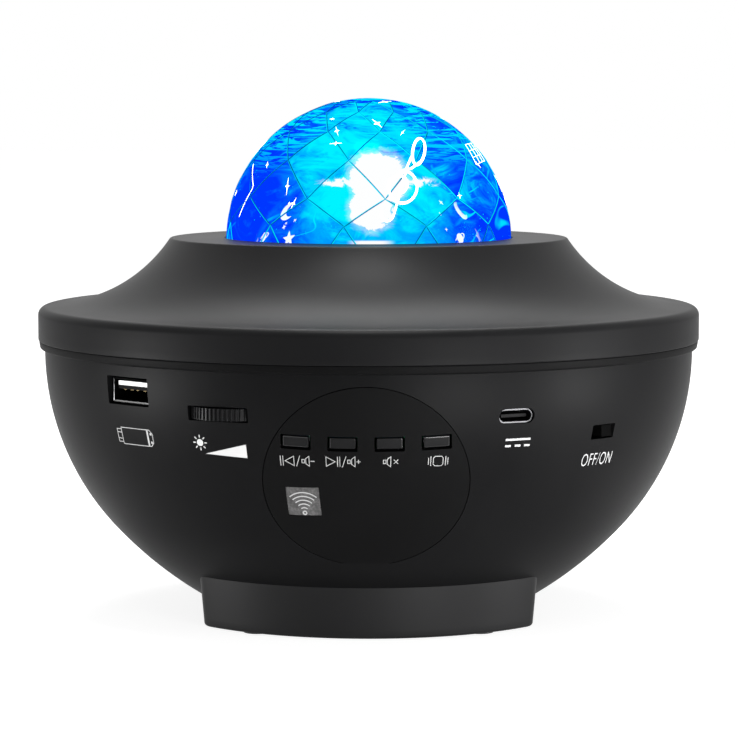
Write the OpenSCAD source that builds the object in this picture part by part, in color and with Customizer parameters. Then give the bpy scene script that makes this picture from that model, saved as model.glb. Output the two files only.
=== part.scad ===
// Star night light projector with a speaker: a flared two-shell housing on two arc feet,
// a faceted dome over a turning pattern dome, and its controls and ports round the front.
// Z is up, the front faces -Y, and the origin is on the ground under the middle.

/* [Housing] */
// Outer diameter of the flange where the two shells meet
flange_d = 168; // [156:1:180]
// Height of the seam between the shells above the underside of the feet
bowl_h = 68.4; // [67:0.2:74]
// Height of the flat top above the seam
top_h = 25.5; // [25:0.5:28]
// Wall thickness of both shells
wall = 2.4; // [2:0.1:2.8]
// Running gap between pieces that are pushed together
fit_gap = 0.15; // [0.1:0.05:0.25]

/* [Upper shell] */
// Width of the flat top round the dome
plate_w = 14.1; // [13:0.1:16]
// Radius of the hollow flare from the flange up to the flat top
flare_r = 38.7; // [36:0.1:42]
// Height of the flange's upright wall
flange_wall_h = 6.3; // [5:0.1:8]
// Radius round the flange's upper edge
flange_round = 2; // [1:0.5:3]
// Radius round the edge of the flat top
plate_round = 0.7; // [0.4:0.1:1.2]

/* [Lower shell] */
// How far the bowl's upright part stands in from the flange
bowl_inset = 1.65; // [1.4:0.05:2.4]
// Height of the lip under the seam
lip_h = 2.1; // [1.5:0.1:3]
// Gap from the lip's upper edge in to the flange's wall
lip_inset = 0.2; // [0.1:0.1:0.5]
// Height of the bowl's upright part under the seam
bowl_straight_h = 2.7; // [2.4:0.1:4]
// Radius of the bowl's upper arc
bowl_r1 = 65.6; // [63:0.1:67]
// Angle at which the upper arc passes into the lower one
bowl_turn = 42.9; // [40:0.1:46]
// Radius of the bowl's flatter lower arc
bowl_r2 = 100.5; // [95:0.5:106]
// Height of the flat floor above the underside of the feet
floor_h = 4.2; // [4:0.1:5]
// Height of the tongue that centres the upper shell
tongue_h = 2.2; // [1.5:0.1:3]

/* [Feet] */
// Outer radius of the two arc feet
foot_r = 56; // [54:0.5:57]
// Thickness of a foot at its top
foot_w = 10; // [9.8:0.1:10.5]
// How far a foot's sides lean in towards its underside
foot_draft = 1.1; // [0.5:0.1:1.1]
// Half of the angle between the round ends of a foot
foot_half_angle = 45.7; // [42:0.1:47]
// Radius of a rubber pad
pad_r = 3.4; // [3.2:0.1:3.5]
// Thickness of a rubber pad
pad_t = 1.5; // [1.2:0.1:2]
// How far a pad stands out of the foot
pad_proud = 0.2; // [0.2:0.1:0.6]

/* [Dome] */
// Outer radius of the dome
dome_r = 36.4; // [34:0.1:37]
// Wall thickness of the dome
dome_t = 1.8; // [1.4:0.1:2.2]
// Depth of the dome's middle below the flat top
dome_drop = 1; // [0.5:0.1:1.5]
// Width of the dome's flange under the flat top
dome_flange_w = 4.6; // [4:0.1:4.8]
// Thickness of the dome's flange
dome_flange_t = 1.6; // [1.2:0.1:2]
// Thickness of the ring that holds the dome
dome_ring_t = 2; // [1.5:0.1:2.5]

/* [Controls] */
// Diameter of the control panel in the front of the bowl
panel_d = 48; // [46:0.5:50]
// Thickness of the control panel
panel_t = 1.2; // [0.8:0.1:1.4]
// Depth of the panel's middle below the seam
panel_drop = 28.9; // [28:0.1:29.8]
// Tilt of the panel's axis below the horizontal
panel_tilt = 23.5; // [21:0.5:26]
// Angle of the panel's middle, seen from above, from the front towards +X
panel_az = -0.4; // [-2:0.1:2]
// Width of a button's face
button_w = 6; // [5:0.1:6.4]
// Height of a button's face
button_face_h = 2.6; // [2.2:0.1:3]
// Gap round a button's face
button_gap = 0.5; // [0.3:0.05:0.55]
// Distance from one button to the next
button_pitch = 10.85; // [10:0.05:11]
// Depth of the buttons below the seam
button_drop = 18.4; // [18:0.1:20]
// Tilt of the buttons' faces below the horizontal
button_tilt = 13.8; // [12:0.1:16]
// Depth of a button's face in its opening
button_recess = 0.35; // [0.2:0.05:0.6]
// Travel of a button
button_travel = 0.5; // [0.3:0.05:0.7]
// Width and height of the infrared window
ir_size = 8; // [7:0.1:8.5]
// Depth of the infrared window's middle below the seam
ir_drop = 32.6; // [31.5:0.1:34]
// Offset of the infrared window from the panel's middle
ir_offset = 14.6; // [14:0.1:15]

/* [Ports] */
// Depth of the play port's middle below the seam
usb_a_drop = 8.2; // [8:0.1:9]
// Angle of the play port
usb_a_az = -44.2; // [-46:0.1:-43.5]
// Width of the play port's opening
usb_a_open_w = 14.2; // [13.8:0.1:14.6]
// Height of the play port's opening
usb_a_open_h = 6.8; // [6.4:0.1:7]
// Depth of the power port's middle below the seam
usb_c_drop = 12.5; // [12.3:0.1:13]
// Angle of the power port
usb_c_az = 25; // [24.5:0.1:27]
// Depth of the power switch's middle below the seam
switch_drop = 17.8; // [17.8:0.1:18.2]
// Angle of the power switch
switch_az = 43.7; // [42:0.1:46]
// Width of the power switch's opening
switch_open_w = 7.75; // [7.5:0.05:8.5]
// Height of the power switch's opening
switch_open_h = 3.5; // [3.2:0.1:4]
// Travel of the power switch
switch_travel = 3.6; // [2:0.1:3.8]

/* [Brightness dial] */
// Angle of the dial
dial_az = -25.5; // [-26:0.1:-25]
// Depth of the dial's middle below the seam
dial_drop = 12.1; // [12:0.1:12.4]
// Width of the dial's opening
dial_open_w = 15.7; // [15:0.1:16.2]
// Height of the dial's opening
dial_open_h = 3.5; // [3.3:0.1:3.8]
// Outer radius of the dial
dial_r = 10.5; // [10:0.1:10.7]
// Thickness of the dial
dial_t = 2.8; // [2.4:0.1:2.8]
// How far the dial stands out of the bowl
dial_proud = 1.6; // [1.2:0.1:1.8]
// Number of ribs round the dial
dial_ribs = 60; // [40:2:72]

/* [Light] */
// How far the turning pattern dome stands out from the light tube
pattern_w = 6.4; // [5.6:0.1:7.6]
// Teeth on the ring that carries the pattern dome
ring_teeth = 60; // [54:1:66]
// Teeth on the motor's pinion
pinion_teeth = 12; // [11:1:14]
// Thickness of the turning pattern dome
pattern_t = 1.2; // [0.8:0.1:1.5]
// Outer radius of the light tube that the ring turns on
tube_r = 24; // [23.6:0.1:25]
// Wall of the light tube
tube_wall = 1.7; // [1.4:0.1:1.9]
// Radius of the condenser lens
lens_r = 20; // [19:0.1:20]
// Height of the condenser lens
lens_h = 8; // [6:0.1:9]

/* [Speaker] */
// Outer radius of the speaker's frame
speaker_r = 26; // [25:0.5:27]
// Radius of the speaker's magnet
magnet_r = 13; // [12:0.5:14]
// Travel of the speaker's cone each way
cone_travel = 0.5; // [0.2:0.1:0.5]
// Radius of the speaker grille
grille_r = 24; // [23.5:0.1:24.5]
// Thickness of the speaker grille
grille_t = 1.5; // [1:0.1:1.8]
// Radius of a hole in the grille
grille_hole_r = 1.1; // [0.8:0.1:1.3]

/* [Hidden] */
$fn = 64;

EPS = 0.01;          // overlap where two shapes of one piece are joined
CUT = 1;             // how far a cutter runs past what it cuts
SEAT = 0.05;         // gap between two fixed pieces that rest on each other
RUN = 0.05;          // radial running gap of a shaft or ring on its seat
AXIAL = 0.1;         // end gap of a turning piece
MOVE_GAP = 0.3;      // gap between a moving piece and a curved neighbour

flange_r = flange_d / 2;
plate_r = dome_r + plate_w;
bowl_r = flange_r - bowl_inset;
foot_z = pad_proud;
seam_z = foot_z + bowl_h;
plate_z = seam_z + top_h;
floor_z = foot_z + floor_h;
floor_in_z = floor_z + wall;

// Flare: one arc that ends at the flange's top and at the edge of the flat top
flange_top = flange_wall_h + flange_round;
flare_cz = seam_z + flange_top + flare_r;
flare_cr = plate_r + sqrt(pow(flare_r, 2) - pow(flare_cz - plate_z, 2));

// Bowl: two arcs that share a tangent at bowl_turn
c1_r = bowl_r - bowl_r1;
c1_z = seam_z - bowl_straight_h;
c2_r = c1_r + (bowl_r1 - bowl_r2) * cos(bowl_turn);
c2_z = c1_z - (bowl_r1 - bowl_r2) * sin(bowl_turn);
// Radius of the bowl, grown by g along its normal, at height z
function bowl_at(z, g = 0) =
    z > c1_z ? bowl_r + g :
    z > c1_z - (bowl_r1 + g) * sin(bowl_turn) ? c1_r + sqrt(pow(bowl_r1 + g, 2) - pow(c1_z - z, 2)) :
    c2_r + sqrt(pow(bowl_r2 + g, 2) - pow(c2_z - z, 2));
// Height of the bowl's lower arc, grown by g, at radius r
function bowl_z(r, g = 0) = c2_z - sqrt(pow(bowl_r2 + g, 2) - pow(r - c2_r, 2));

ARC_STEPS = 14;
function arc(cr, cz, r, from, to, steps) =
    [for (i = [0:steps]) let (a = from + (to - from) * i / steps) [cr + r * cos(a), cz + r * sin(a)]];

// Places of the controls and the boards
usb_a_z = seam_z - usb_a_drop;
usb_c_z = seam_z - usb_c_drop;
dial_z = seam_z - dial_drop;
switch_z = seam_z - switch_drop;
button_z = seam_z - button_drop;

BOARD_T = 1.6;
BOARD_GAP = 0.02;
USB_C_W = 8.94;
USB_C_H = 3.26;
USB_C_SHEET = 0.3;
USB_C_GAP = 0.3;      // how much larger the opening is than the shell, each way
USB_C_LEN = 7.3;
USB_A_W = 13.1;
USB_A_H = 5.7;
USB_A_SHEET = 0.35;
USB_A_LEN = 13.2;
board_top = usb_c_z - USB_C_H / 2 - SEAT;
board_z = board_top - BOARD_T;
BOARD_EDGE_GAP = 1.1;
board_edge_r = bowl_at(board_z, -wall) - BOARD_EDGE_GAP;
BOARD_DEPTH = 33.5;  // from the board's outer edge to its inner one
board_in_r = board_edge_r - BOARD_DEPTH;
BOARD_HALF_ANGLE = 58;
BOARD_NOTCH_X = 26;
BOARD_NOTCH_DEPTH = 17;
notch_y = BOARD_NOTCH_DEPTH - bowl_at(board_z);

// Screws that hold the housing together, through the feet
PILLAR_R = foot_r - foot_w / 2;
PILLAR_AZ = [-32, 32, 148, 212];
PILLAR_LOW_R = 5;
PILLAR_UP_R = 4.2;
PILLAR_WEB = 5;
WELL_R = 2.9;
CASE_SCREW_R = 1.45;
CASE_SCREW_LEN = 17;
CASE_HEAD_R = 2.7;
CASE_HEAD_H = 2.4;
pillar_split_z = board_z - 7.2;
well_top_z = pillar_split_z - PILLAR_WEB;

// Small screws: [shank radius, shank length, head radius, head height]
M2 = [0.95, 5, 1.9, 1.2];
M25 = [1.1, 5, 2.2, 1.4];
PILOT = 0.05;        // radial gap of a screw in the hole it cuts

// Posts under the main board: [angle, radius]
POST_SET = 7.5;      // from the board's edge in to the side posts
POST_SET_MID = 21.5; // from the board's edge in to the middle posts
MAIN_POSTS = [
    [-54.5, board_edge_r - POST_SET], [54.5, board_edge_r - POST_SET],
    [-9, board_edge_r - POST_SET_MID], [9, board_edge_r - POST_SET_MID]
];
POST_R = 2.6;

// Button board, in the buttons' tilted frame: [x, up]
BOARD_HALF_W = 20.3;
BOARD_LOW = -20;
BOARD_HIGH = 3.2;
BUTTON_POSTS = [[16, -15], [-3, -15]];
BUTTON_BOARD_Y = 11.5;
SWITCH_SIDE = 6;
SWITCH_H = 3.5;
PLUNGER_R = 1.75;
PLUNGER_TIP_Y = 7;
PLUNGER_LEN = 2.6;
BUTTON_FLANGE = 1.2;
BUTTON_FLANGE_Y = 6.3;

// Light unit
carrier_z = seam_z + 2;
CARRIER_T = 2;
CARRIER_R = 45.5;
CARRIER_WING_R = 60;
CARRIER_WING_HALF = 24;
CARRIER_POSTS = [75, 105, 255, 285];
CARRIER_POST_RING = 56;
carrier_top = carrier_z + CARRIER_T;
SINK_R = tube_r - tube_wall - 0.4;
SINK_T = 2;
FIN_R = SINK_R - 4.1;
FIN_H = 10;
FIN_T = 1.2;
FIN_PITCH = 4;
sink_top = carrier_top + SEAT + SINK_T;
LED_BOARD_R = SINK_R - 1.9;
LED_SIDE = 5;
LED_H = 1;
LED_RING = 6;
led_top = sink_top + SEAT + BOARD_T;
LED_SCREW_RING = LED_BOARD_R - 3.5;
tube_seat_z = carrier_top + 6;
TUBE_SHOULDER = 3;
TUBE_SHOULDER_T = 1.5;
TUBE_FLANGE_T = 2;
TUBE_SCREW_RING = tube_r + 3.3;
TUBE_FLANGE_R = TUBE_SCREW_RING + 3.2;
ring_z = tube_seat_z + TUBE_SHOULDER_T + AXIAL;
RING_T = 4;
ring_top = ring_z + RING_T;
CLIP_T = 1.5;
tube_top = ring_top + AXIAL + CLIP_T + 0.4;
TUBE_LEDGE_Z = 9;
TUBE_LEDGE_T = 1;
TUBE_LEDGE_W = 1.5;
tube_ledge_z = carrier_top + TUBE_LEDGE_Z;
pattern_r = tube_r + pattern_w;
PATTERN_LAP = 0.4;   // how far the pattern dome stands out of the ring's pitch circle
ring_pitch_r = pattern_r - PATTERN_LAP;
gear_module = 2 * ring_pitch_r / ring_teeth;
pinion_pitch_r = gear_module * pinion_teeth / 2;
gear_distance = ring_pitch_r + pinion_pitch_r;
GEAR_ADD = 0.9 * gear_module;
GEAR_DED = 1.15 * gear_module;
GEAR_TIP = 0.7 * gear_module;
GEAR_ROOT = 1.95 * gear_module;
MOTOR_R = 10;
MOTOR_H = 15;
MOTOR_EAR = 14;
MOTOR_EAR_R = 3.5;
MOTOR_EAR_T = 1;
MOTOR_SHAFT_R = 1.5;
MOTOR_BOSS_R = 4;

// Dome
dome_z = plate_z - dome_drop;
plate_in_z = plate_z - wall;
dome_flange_z = plate_in_z - SEAT - dome_flange_t;
dome_ring_z = dome_flange_z - SEAT - dome_ring_t;
DOME_RING_IN = dome_r - 1.2;
DOME_SCREW_RING = dome_r + dome_flange_w + 3;
DOME_RING_OUT = DOME_SCREW_RING + 2.4;
DOME_SCREW_AZ = [45, 135, 225, 315];
DOME_BOSS_R = 2.6;

// Speaker
gasket_z = floor_in_z + SEAT;
GASKET_T = 0.8;
frame_z = gasket_z + GASKET_T + SEAT;
SPEAKER_FLANGE_T = 1.2;
SPEAKER_OPEN_R = speaker_r - 6;
SPEAKER_DEPTH = 11;
MAGNET_H = 9;
COIL_R = 6.5;
COIL_T = 0.4;
COIL_GAP = 0.6;
SPEAKER_SCREW_RING = speaker_r - 2.5;
SPEAKER_SCREW_AZ = [0, 90, 180, 270];
basket_top = frame_z + SPEAKER_DEPTH;

LEAD_R = 0.6;
LEAD_SIDES = 8;
LEAD_SLOT = 4.4;
LEAD_HOLE_Y = 34;

SHELL = [0.11, 0.11, 0.12];
PANEL = [0.05, 0.05, 0.055];
STEEL = [0.78, 0.79, 0.8];
BOARD = [0.06, 0.33, 0.16];
RUBBER = [0.07, 0.07, 0.07];
WHITE = [0.92, 0.92, 0.9];

// ---------------------------------------------------------------- helpers

// Turns its children from the front (-Y) by an angle towards +X
module turned(az) {
    rotate([0, 0, az]) children();
}

// A place on a circle, at an angle from the front
module at_ring(az, r) {
    turned(az) translate([0, -r, 0]) children();
}

// A ring with flat ends
module ring(r_out, r_in, z, h) {
    translate([0, 0, z]) difference() {
        cylinder(r = r_out, h = h);
        translate([0, 0, -CUT]) cylinder(r = r_in, h = h + 2 * CUT);
    }
}

// A screw whose head sits on z = 0 and whose shank points down
module screw(size) {
    difference() {
        union() {
            translate([0, 0, -size[1]]) cylinder(r = size[0], h = size[1] + EPS);
            cylinder(r = size[2], h = size[3]);
        }
        for (a = [0, 90]) {
            rotate([0, 0, a]) translate([-size[2] * 0.6, -0.2, size[3] * 0.5])
                cube([size[2] * 1.2, 0.4, size[3]]);
        }
    }
}

// The bowl's outer form, grown by g along its normal, up to height top
module bowl_solid(g, top) {
    end = asin((c2_z - (floor_z - g)) / (bowl_r2 + g));
    rotate_extrude($fn = 128) polygon(concat(
        [[0, top], [bowl_r + g, top]],
        arc(c1_r, c1_z, bowl_r1 + g, 0, -bowl_turn, ARC_STEPS),
        [for (i = [1:ARC_STEPS / 2]) let (a = bowl_turn + (end - bowl_turn) * i * 2 / ARC_STEPS)
            [c2_r + (bowl_r2 + g) * cos(a), c2_z - (bowl_r2 + g) * sin(a)]],
        [[0, floor_z - g]]
    ));
}

// The upper shell's outer form, shrunk by g along its normal, from height bottom
module upper_solid(g, bottom) {
    r_end = flange_r - flange_round;
    from = 180 + asin((flare_cz - plate_z + g) / (flare_r + g));
    to = 270 - asin(max(flare_cr - r_end, 0) / (flare_r + g));
    rotate_extrude($fn = 128) polygon(concat(
        [[0, bottom], [flange_r - g, bottom]],
        arc(r_end, seam_z + flange_wall_h, flange_round - min(g, flange_round - EPS), 0, 80, 5),
        [for (i = [ARC_STEPS:-1:g > 0 ? 0 : 1]) let (a = from + (to - from) * i / ARC_STEPS)
            [flare_cr + (flare_r + g) * cos(a), flare_cz + (flare_r + g) * sin(a)]],
        g > 0 ? [] : arc(plate_r - plate_round, plate_z - plate_round, plate_round, 30, 90, 3),
        [[0, plate_z - g]]
    ));
}

// The frame of the buttons: its origin on the bowl's surface, -Y outwards along their travel
module button_frame() {
    turned(panel_az) translate([0, -bowl_at(button_z), button_z]) rotate([button_tilt, 0, 0]) children();
}

// The place of one button in that frame
function button_x(i) = (i - 1.5) * button_pitch;

// The frame of the panel: its origin near the bowl's surface, Z outwards along its axis
module panel_frame() {
    turned(panel_az) translate([0, -bowl_at(seam_z - panel_drop), seam_z - panel_drop])
        rotate([90 + panel_tilt, 0, 0]) children();
}

// A flat slot with round ends, along X, through thickness y
module stadium(w, h, y0, y1) {
    rotate([90, 0, 0]) translate([0, 0, -y1]) union() {
        translate([-(w - h) / 2, -h / 2, 0]) cube([w - h, h, y1 - y0]);
        for (s = [-1, 1]) {
            translate([s * (w - h) / 2, 0, 0]) cylinder(r = h / 2, h = y1 - y0);
        }
    }
}

// Outline of a gear with straight-sided teeth
function gear_outline(teeth, pitch_r) = [
    for (i = [0:teeth - 1]) for (p = [
        [pitch_r - GEAR_DED, -GEAR_ROOT / 2], [pitch_r + GEAR_ADD, -GEAR_TIP / 2],
        [pitch_r + GEAR_ADD, GEAR_TIP / 2], [pitch_r - GEAR_DED, GEAR_ROOT / 2]
    ]) let (a = i * 360 / teeth + atan(p[1] / p[0])) [p[0] * cos(a), p[0] * sin(a)]
];

// Outline of the dial's ribbed rim
RIB_DEPTH = 0.45;
function rib_outline(count, r) = [
    for (i = [0:count - 1]) for (p = [[-0.3, 0], [-0.18, 1], [0.18, 1], [0.3, 0]])
        let (a = (i + p[0]) * 360 / count, q = r - RIB_DEPTH * (1 - p[1])) [q * cos(a), q * sin(a)]
];

// A lead swept along its points, as a tube of flat faces
function unit(v) = v / norm(v);
function heading(p, i) = unit(p[min(i + 1, len(p) - 1)] - p[max(i - 1, 0)]);
function side_of(t) = unit(cross(t, abs(t[2]) > 0.9 ? [1, 0, 0] : [0, 0, 1]));
module lead(p, r) {
    n = len(p);
    points = [for (i = [0:n - 1]) let (t = heading(p, i), s = side_of(t), u = cross(s, t))
        for (k = [0:LEAD_SIDES - 1]) let (a = k * 360 / LEAD_SIDES) p[i] + r * (cos(a) * s + sin(a) * u)];
    sides = [for (i = [0:n - 2]) for (k = [0:LEAD_SIDES - 1]) let (m = (k + 1) % LEAD_SIDES)
        [i * LEAD_SIDES + k, i * LEAD_SIDES + m, (i + 1) * LEAD_SIDES + m, (i + 1) * LEAD_SIDES + k]];
    first = [for (k = [LEAD_SIDES - 1:-1:0]) k];
    last = [for (k = [0:LEAD_SIDES - 1]) (n - 1) * LEAD_SIDES + k];
    polyhedron(points = points, faces = concat([first], sides, [last]));
}

// ---------------------------------------------------------------- housing

module upper_shell() {
    color(SHELL) difference() {
        union() {
            difference() {
                upper_solid(0, seam_z);
                upper_solid(wall, seam_z - CUT);
            }
            intersection() {
                union() {
                    for (a = PILLAR_AZ) {
                        at_ring(a, PILLAR_R) translate([0, 0, pillar_split_z + SEAT])
                            cylinder(r = PILLAR_UP_R, h = plate_z - pillar_split_z);
                    }
                    for (a = CARRIER_POSTS) {
                        at_ring(a, CARRIER_POST_RING) translate([0, 0, carrier_top + SEAT])
                            cylinder(r = POST_R + 0.6, h = plate_z - carrier_top);
                    }
                    for (a = DOME_SCREW_AZ) {
                        at_ring(a, DOME_SCREW_RING) translate([0, 0, dome_flange_z])
                            cylinder(r = DOME_BOSS_R, h = plate_z - dome_flange_z);
                    }
                }
                upper_solid(wall / 2, pillar_split_z);
            }
        }
        translate([0, 0, plate_in_z - CUT]) cylinder(r = dome_r + fit_gap, h = wall + 2 * CUT, $fn = 128);
        for (a = PILLAR_AZ) {
            at_ring(a, PILLAR_R) translate([0, 0, pillar_split_z - CUT])
                cylinder(r = CASE_SCREW_R + PILOT, h = CASE_SCREW_LEN + CUT);
        }
        for (a = CARRIER_POSTS) {
            at_ring(a, CARRIER_POST_RING) translate([0, 0, carrier_top - CUT])
                cylinder(r = M25[0] + PILOT, h = M25[1] + CUT);
        }
        for (a = DOME_SCREW_AZ) {
            at_ring(a, DOME_SCREW_RING) translate([0, 0, dome_flange_z - CUT])
                cylinder(r = M25[0] + PILOT, h = M25[1] - dome_ring_t + CUT + 0.2);
        }
    }
}

// Openings of the ports, the dial, the switch, the buttons and the window in the bowl's wall
module wall_openings() {
    depth = 4 * wall;
    at_ring(usb_a_az, bowl_r) translate([0, 0, usb_a_z])
        cube([usb_a_open_w, depth, usb_a_open_h], center = true);
    at_ring(dial_az, bowl_r) translate([0, 0, dial_z]) cube([dial_open_w, depth, dial_open_h], center = true);
    at_ring(dial_az, dial_ring_r) translate([0, 0, dial_z - dial_open_h / 2])
        cylinder(r = dial_r + MOVE_GAP, h = dial_open_h);
    at_ring(switch_az, bowl_r) translate([0, 0, switch_z])
        cube([switch_open_w, depth, switch_open_h], center = true);
    at_ring(usb_c_az, bowl_r) translate([0, 0, usb_c_z])
        stadium(USB_C_W + USB_C_GAP, USB_C_H + USB_C_GAP, -depth / 2, depth / 2);
    panel_openings();
}

// Openings of the buttons and the infrared window
OPEN_DEPTH = 12;
module panel_openings() {
    for (i = [0:3]) {
        button_frame() translate([button_x(i), 1, 0])
            cube([button_w + 2 * button_gap, OPEN_DEPTH, button_face_h + 2 * button_gap], center = true);
    }
    ir_place() cube([ir_size, ir_size, OPEN_DEPTH], center = true);
}

// The infrared window's place on the panel, with Z outwards
module ir_place() {
    z = seam_z - ir_drop;
    turned(panel_az - asin(ir_offset / bowl_at(z))) translate([0, -bowl_at(z), z])
        rotate([90 + asin((c1_z - z) / bowl_r1), 0, 0]) children();
}

module panel_disc(r, outer, inner) {
    intersection() {
        difference() {
            bowl_solid(outer, seam_z - lip_h);
            bowl_solid(inner, seam_z);
        }
        panel_frame() translate([0, 0, -panel_d / 2]) cylinder(r = r, h = panel_d, $fn = 96);
    }
}

module lower_shell() {
    color(SHELL) difference() {
        union() {
            difference() {
                bowl_solid(0, seam_z);
                bowl_solid(-wall, seam_z + CUT);
            }
            lip();
            tongue();
            intersection() {
                union() {
                    for (a = PILLAR_AZ) {
                        at_ring(a, PILLAR_R) cylinder(r = PILLAR_LOW_R, h = pillar_split_z);
                    }
                    for (p = MAIN_POSTS) {
                        at_ring(p[0], p[1]) cylinder(r = POST_R, h = board_z - SEAT);
                    }
                    button_frame() for (p = BUTTON_POSTS) {
                        translate([p[0], BUTTON_BOARD_Y - SEAT, p[1]]) rotate([90, 0, 0])
                            cylinder(r = POST_R, h = BUTTON_BOARD_Y + CUT);
                    }
                }
                bowl_solid(-wall / 2, seam_z);
            }
        }
        panel_disc(panel_d / 2 + fit_gap, 1, -panel_t - SEAT);
        wall_openings();
        for (a = PILLAR_AZ) {
            at_ring(a, PILLAR_R) {
                cylinder(r = WELL_R, h = well_top_z);
                cylinder(r = CASE_SCREW_R + fit_gap, h = pillar_split_z + CUT);
            }
        }
        for (p = MAIN_POSTS) {
            at_ring(p[0], p[1]) translate([0, 0, board_z - M2[1]])
                cylinder(r = M2[0] + PILOT, h = M2[1] + CUT);
        }
        button_frame() for (p = BUTTON_POSTS) {
            translate([p[0], BUTTON_BOARD_Y + CUT, p[1]]) rotate([90, 0, 0])
                cylinder(r = M2[0] + PILOT, h = M2[1] + CUT);
        }
        translate([0, 0, floor_z - CUT]) cylinder(r = grille_r + fit_gap, h = grille_t + CUT);
        translate([0, 0, floor_z]) cylinder(r = SPEAKER_OPEN_R, h = wall + CUT);
        for (a = SPEAKER_SCREW_AZ) {
            at_ring(a, SPEAKER_SCREW_RING) translate([0, 0, floor_z + grille_t + 0.2])
                cylinder(r = M2[0] + PILOT, h = wall);
        }
    }
}

// The lip that closes the seam from below
module lip() {
    top_r = flange_r - lip_inset;
    rotate_extrude($fn = 128) polygon([
        [bowl_r - wall, seam_z], [top_r, seam_z], [top_r - 0.2, seam_z - lip_h * 0.6],
        [top_r - 0.6, seam_z - lip_h], [bowl_r - wall / 2, seam_z - lip_h - 0.4]
    ]);
}

// The tongue that centres the upper shell on the seam
module tongue() {
    r = flange_r - wall - fit_gap;
    ring(r, r - 1.6, seam_z - lip_h, lip_h + tongue_h, $fn = 128);
}

FOOT_H = bowl_z(foot_r) - foot_z + CUT;

module foot_section() {
    translate([PILLAR_R, foot_z]) polygon([
        [foot_draft - foot_w / 2, 0], [foot_w / 2 - foot_draft, 0], [foot_w / 2, FOOT_H], [-foot_w / 2, FOOT_H]
    ]);
}

// An arc-shaped foot with round ends, its top fitted to the bowl
module foot(side_az) {
    color(SHELL) turned(side_az) difference() {
        union() {
            rotate([0, 0, -90 - foot_half_angle]) rotate_extrude(angle = 2 * foot_half_angle, $fn = 128)
                foot_section();
            for (a = [-foot_half_angle, foot_half_angle]) {
                at_ring(a, PILLAR_R) translate([0, 0, foot_z])
                    cylinder(r1 = foot_w / 2 - foot_draft, r2 = foot_w / 2, h = FOOT_H);
            }
        }
        bowl_solid(SEAT, seam_z);
        for (a = [PILLAR_AZ[0], PILLAR_AZ[1]]) {
            at_ring(a, PILLAR_R) {
                cylinder(r = WELL_R, h = seam_z);
                translate([0, 0, foot_z - CUT])
                    cylinder(r = pad_r + fit_gap / 2, h = pad_t - pad_proud + SEAT + CUT);
            }
        }
    }
}

module front_foot() {
    foot(0);
}

module rear_foot() {
    foot(180);
}

module rubber_pads() {
    color(RUBBER) for (a = PILLAR_AZ) {
        at_ring(a, PILLAR_R) cylinder(r = pad_r, h = pad_t);
    }
}

module case_screws() {
    color(STEEL) for (a = PILLAR_AZ) {
        at_ring(a, PILLAR_R) translate([0, 0, well_top_z - SEAT]) rotate([180, 0, 0])
            screw([CASE_SCREW_R, CASE_SCREW_LEN, CASE_HEAD_R, CASE_HEAD_H]);
    }
}

// ---------------------------------------------------------------- dome

// Half of the dome's section: a quarter circle over an upright stretch
module dome_section(r) {
    intersection() {
        translate([0, dome_z]) circle(r = r, $fn = 128);
        translate([0, dome_z]) square(r + CUT);
    }
    translate([0, dome_flange_z]) square([r, dome_z - dome_flange_z]);
}

module dome_cover() {
    color([0.1, 0.5, 1, 0.6]) rotate_extrude($fn = 128) difference() {
        union() {
            dome_section(dome_r);
            translate([0, dome_flange_z]) square([dome_r + dome_flange_w, dome_flange_t]);
        }
        dome_section(dome_r - dome_t);
    }
}

module dome_ring() {
    color(SHELL) difference() {
        ring(DOME_RING_OUT, DOME_RING_IN, dome_ring_z, dome_ring_t);
        for (a = DOME_SCREW_AZ) {
            at_ring(a, DOME_SCREW_RING) translate([0, 0, dome_ring_z - CUT])
                cylinder(r = M25[0] + fit_gap, h = dome_ring_t + 2 * CUT);
        }
        for (a = PILLAR_AZ) {
            at_ring(a, PILLAR_R) translate([0, 0, dome_ring_z - CUT])
                cylinder(r = PILLAR_UP_R + MOVE_GAP, h = dome_ring_t + 2 * CUT);
        }
    }
}

module dome_ring_screws() {
    color(STEEL) for (a = DOME_SCREW_AZ) {
        at_ring(a, DOME_SCREW_RING) translate([0, 0, dome_ring_z - SEAT]) rotate([180, 0, 0]) screw(M25);
    }
}

// ---------------------------------------------------------------- controls

module control_panel() {
    color(PANEL) difference() {
        panel_disc(panel_d / 2, 0, -panel_t);
        panel_openings();
    }
}

module ir_window() {
    color([0.35, 0.33, 0.33]) intersection() {
        difference() {
            bowl_solid(-0.1, seam_z - lip_h);
            bowl_solid(-wall, seam_z);
        }
        ir_place() cube([ir_size - fit_gap, ir_size - fit_gap, OPEN_DEPTH], center = true);
    }
}

module button(i) {
    color(SHELL) union() {
        intersection() {
            button_frame() translate([button_x(i) - button_w / 2, -10, -button_face_h / 2])
                cube([button_w, 10 + BUTTON_FLANGE_Y, button_face_h]);
            bowl_solid(-button_recess, seam_z);
        }
        intersection() {
            button_frame() translate([
                button_x(i) - button_w / 2 - BUTTON_FLANGE, 0, -button_face_h / 2 - BUTTON_FLANGE
            ]) cube([button_w + 2 * BUTTON_FLANGE, BUTTON_FLANGE_Y, button_face_h + 2 * BUTTON_FLANGE]);
            bowl_solid(-wall - MOVE_GAP, seam_z);
        }
        button_frame() translate([button_x(i), PLUNGER_TIP_Y - SEAT, 0]) rotate([90, 0, 0])
            cylinder(r = PLUNGER_R - 0.5, h = PLUNGER_TIP_Y - BUTTON_FLANGE_Y);
    }
}

module plunger(i) {
    color([0.1, 0.1, 0.1]) button_frame() translate([button_x(i), PLUNGER_TIP_Y, 0]) rotate([-90, 0, 0])
        cylinder(r = PLUNGER_R, h = PLUNGER_LEN);
}

module previous_button() {
    button(0);
}

module next_button() {
    button(1);
}

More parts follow.
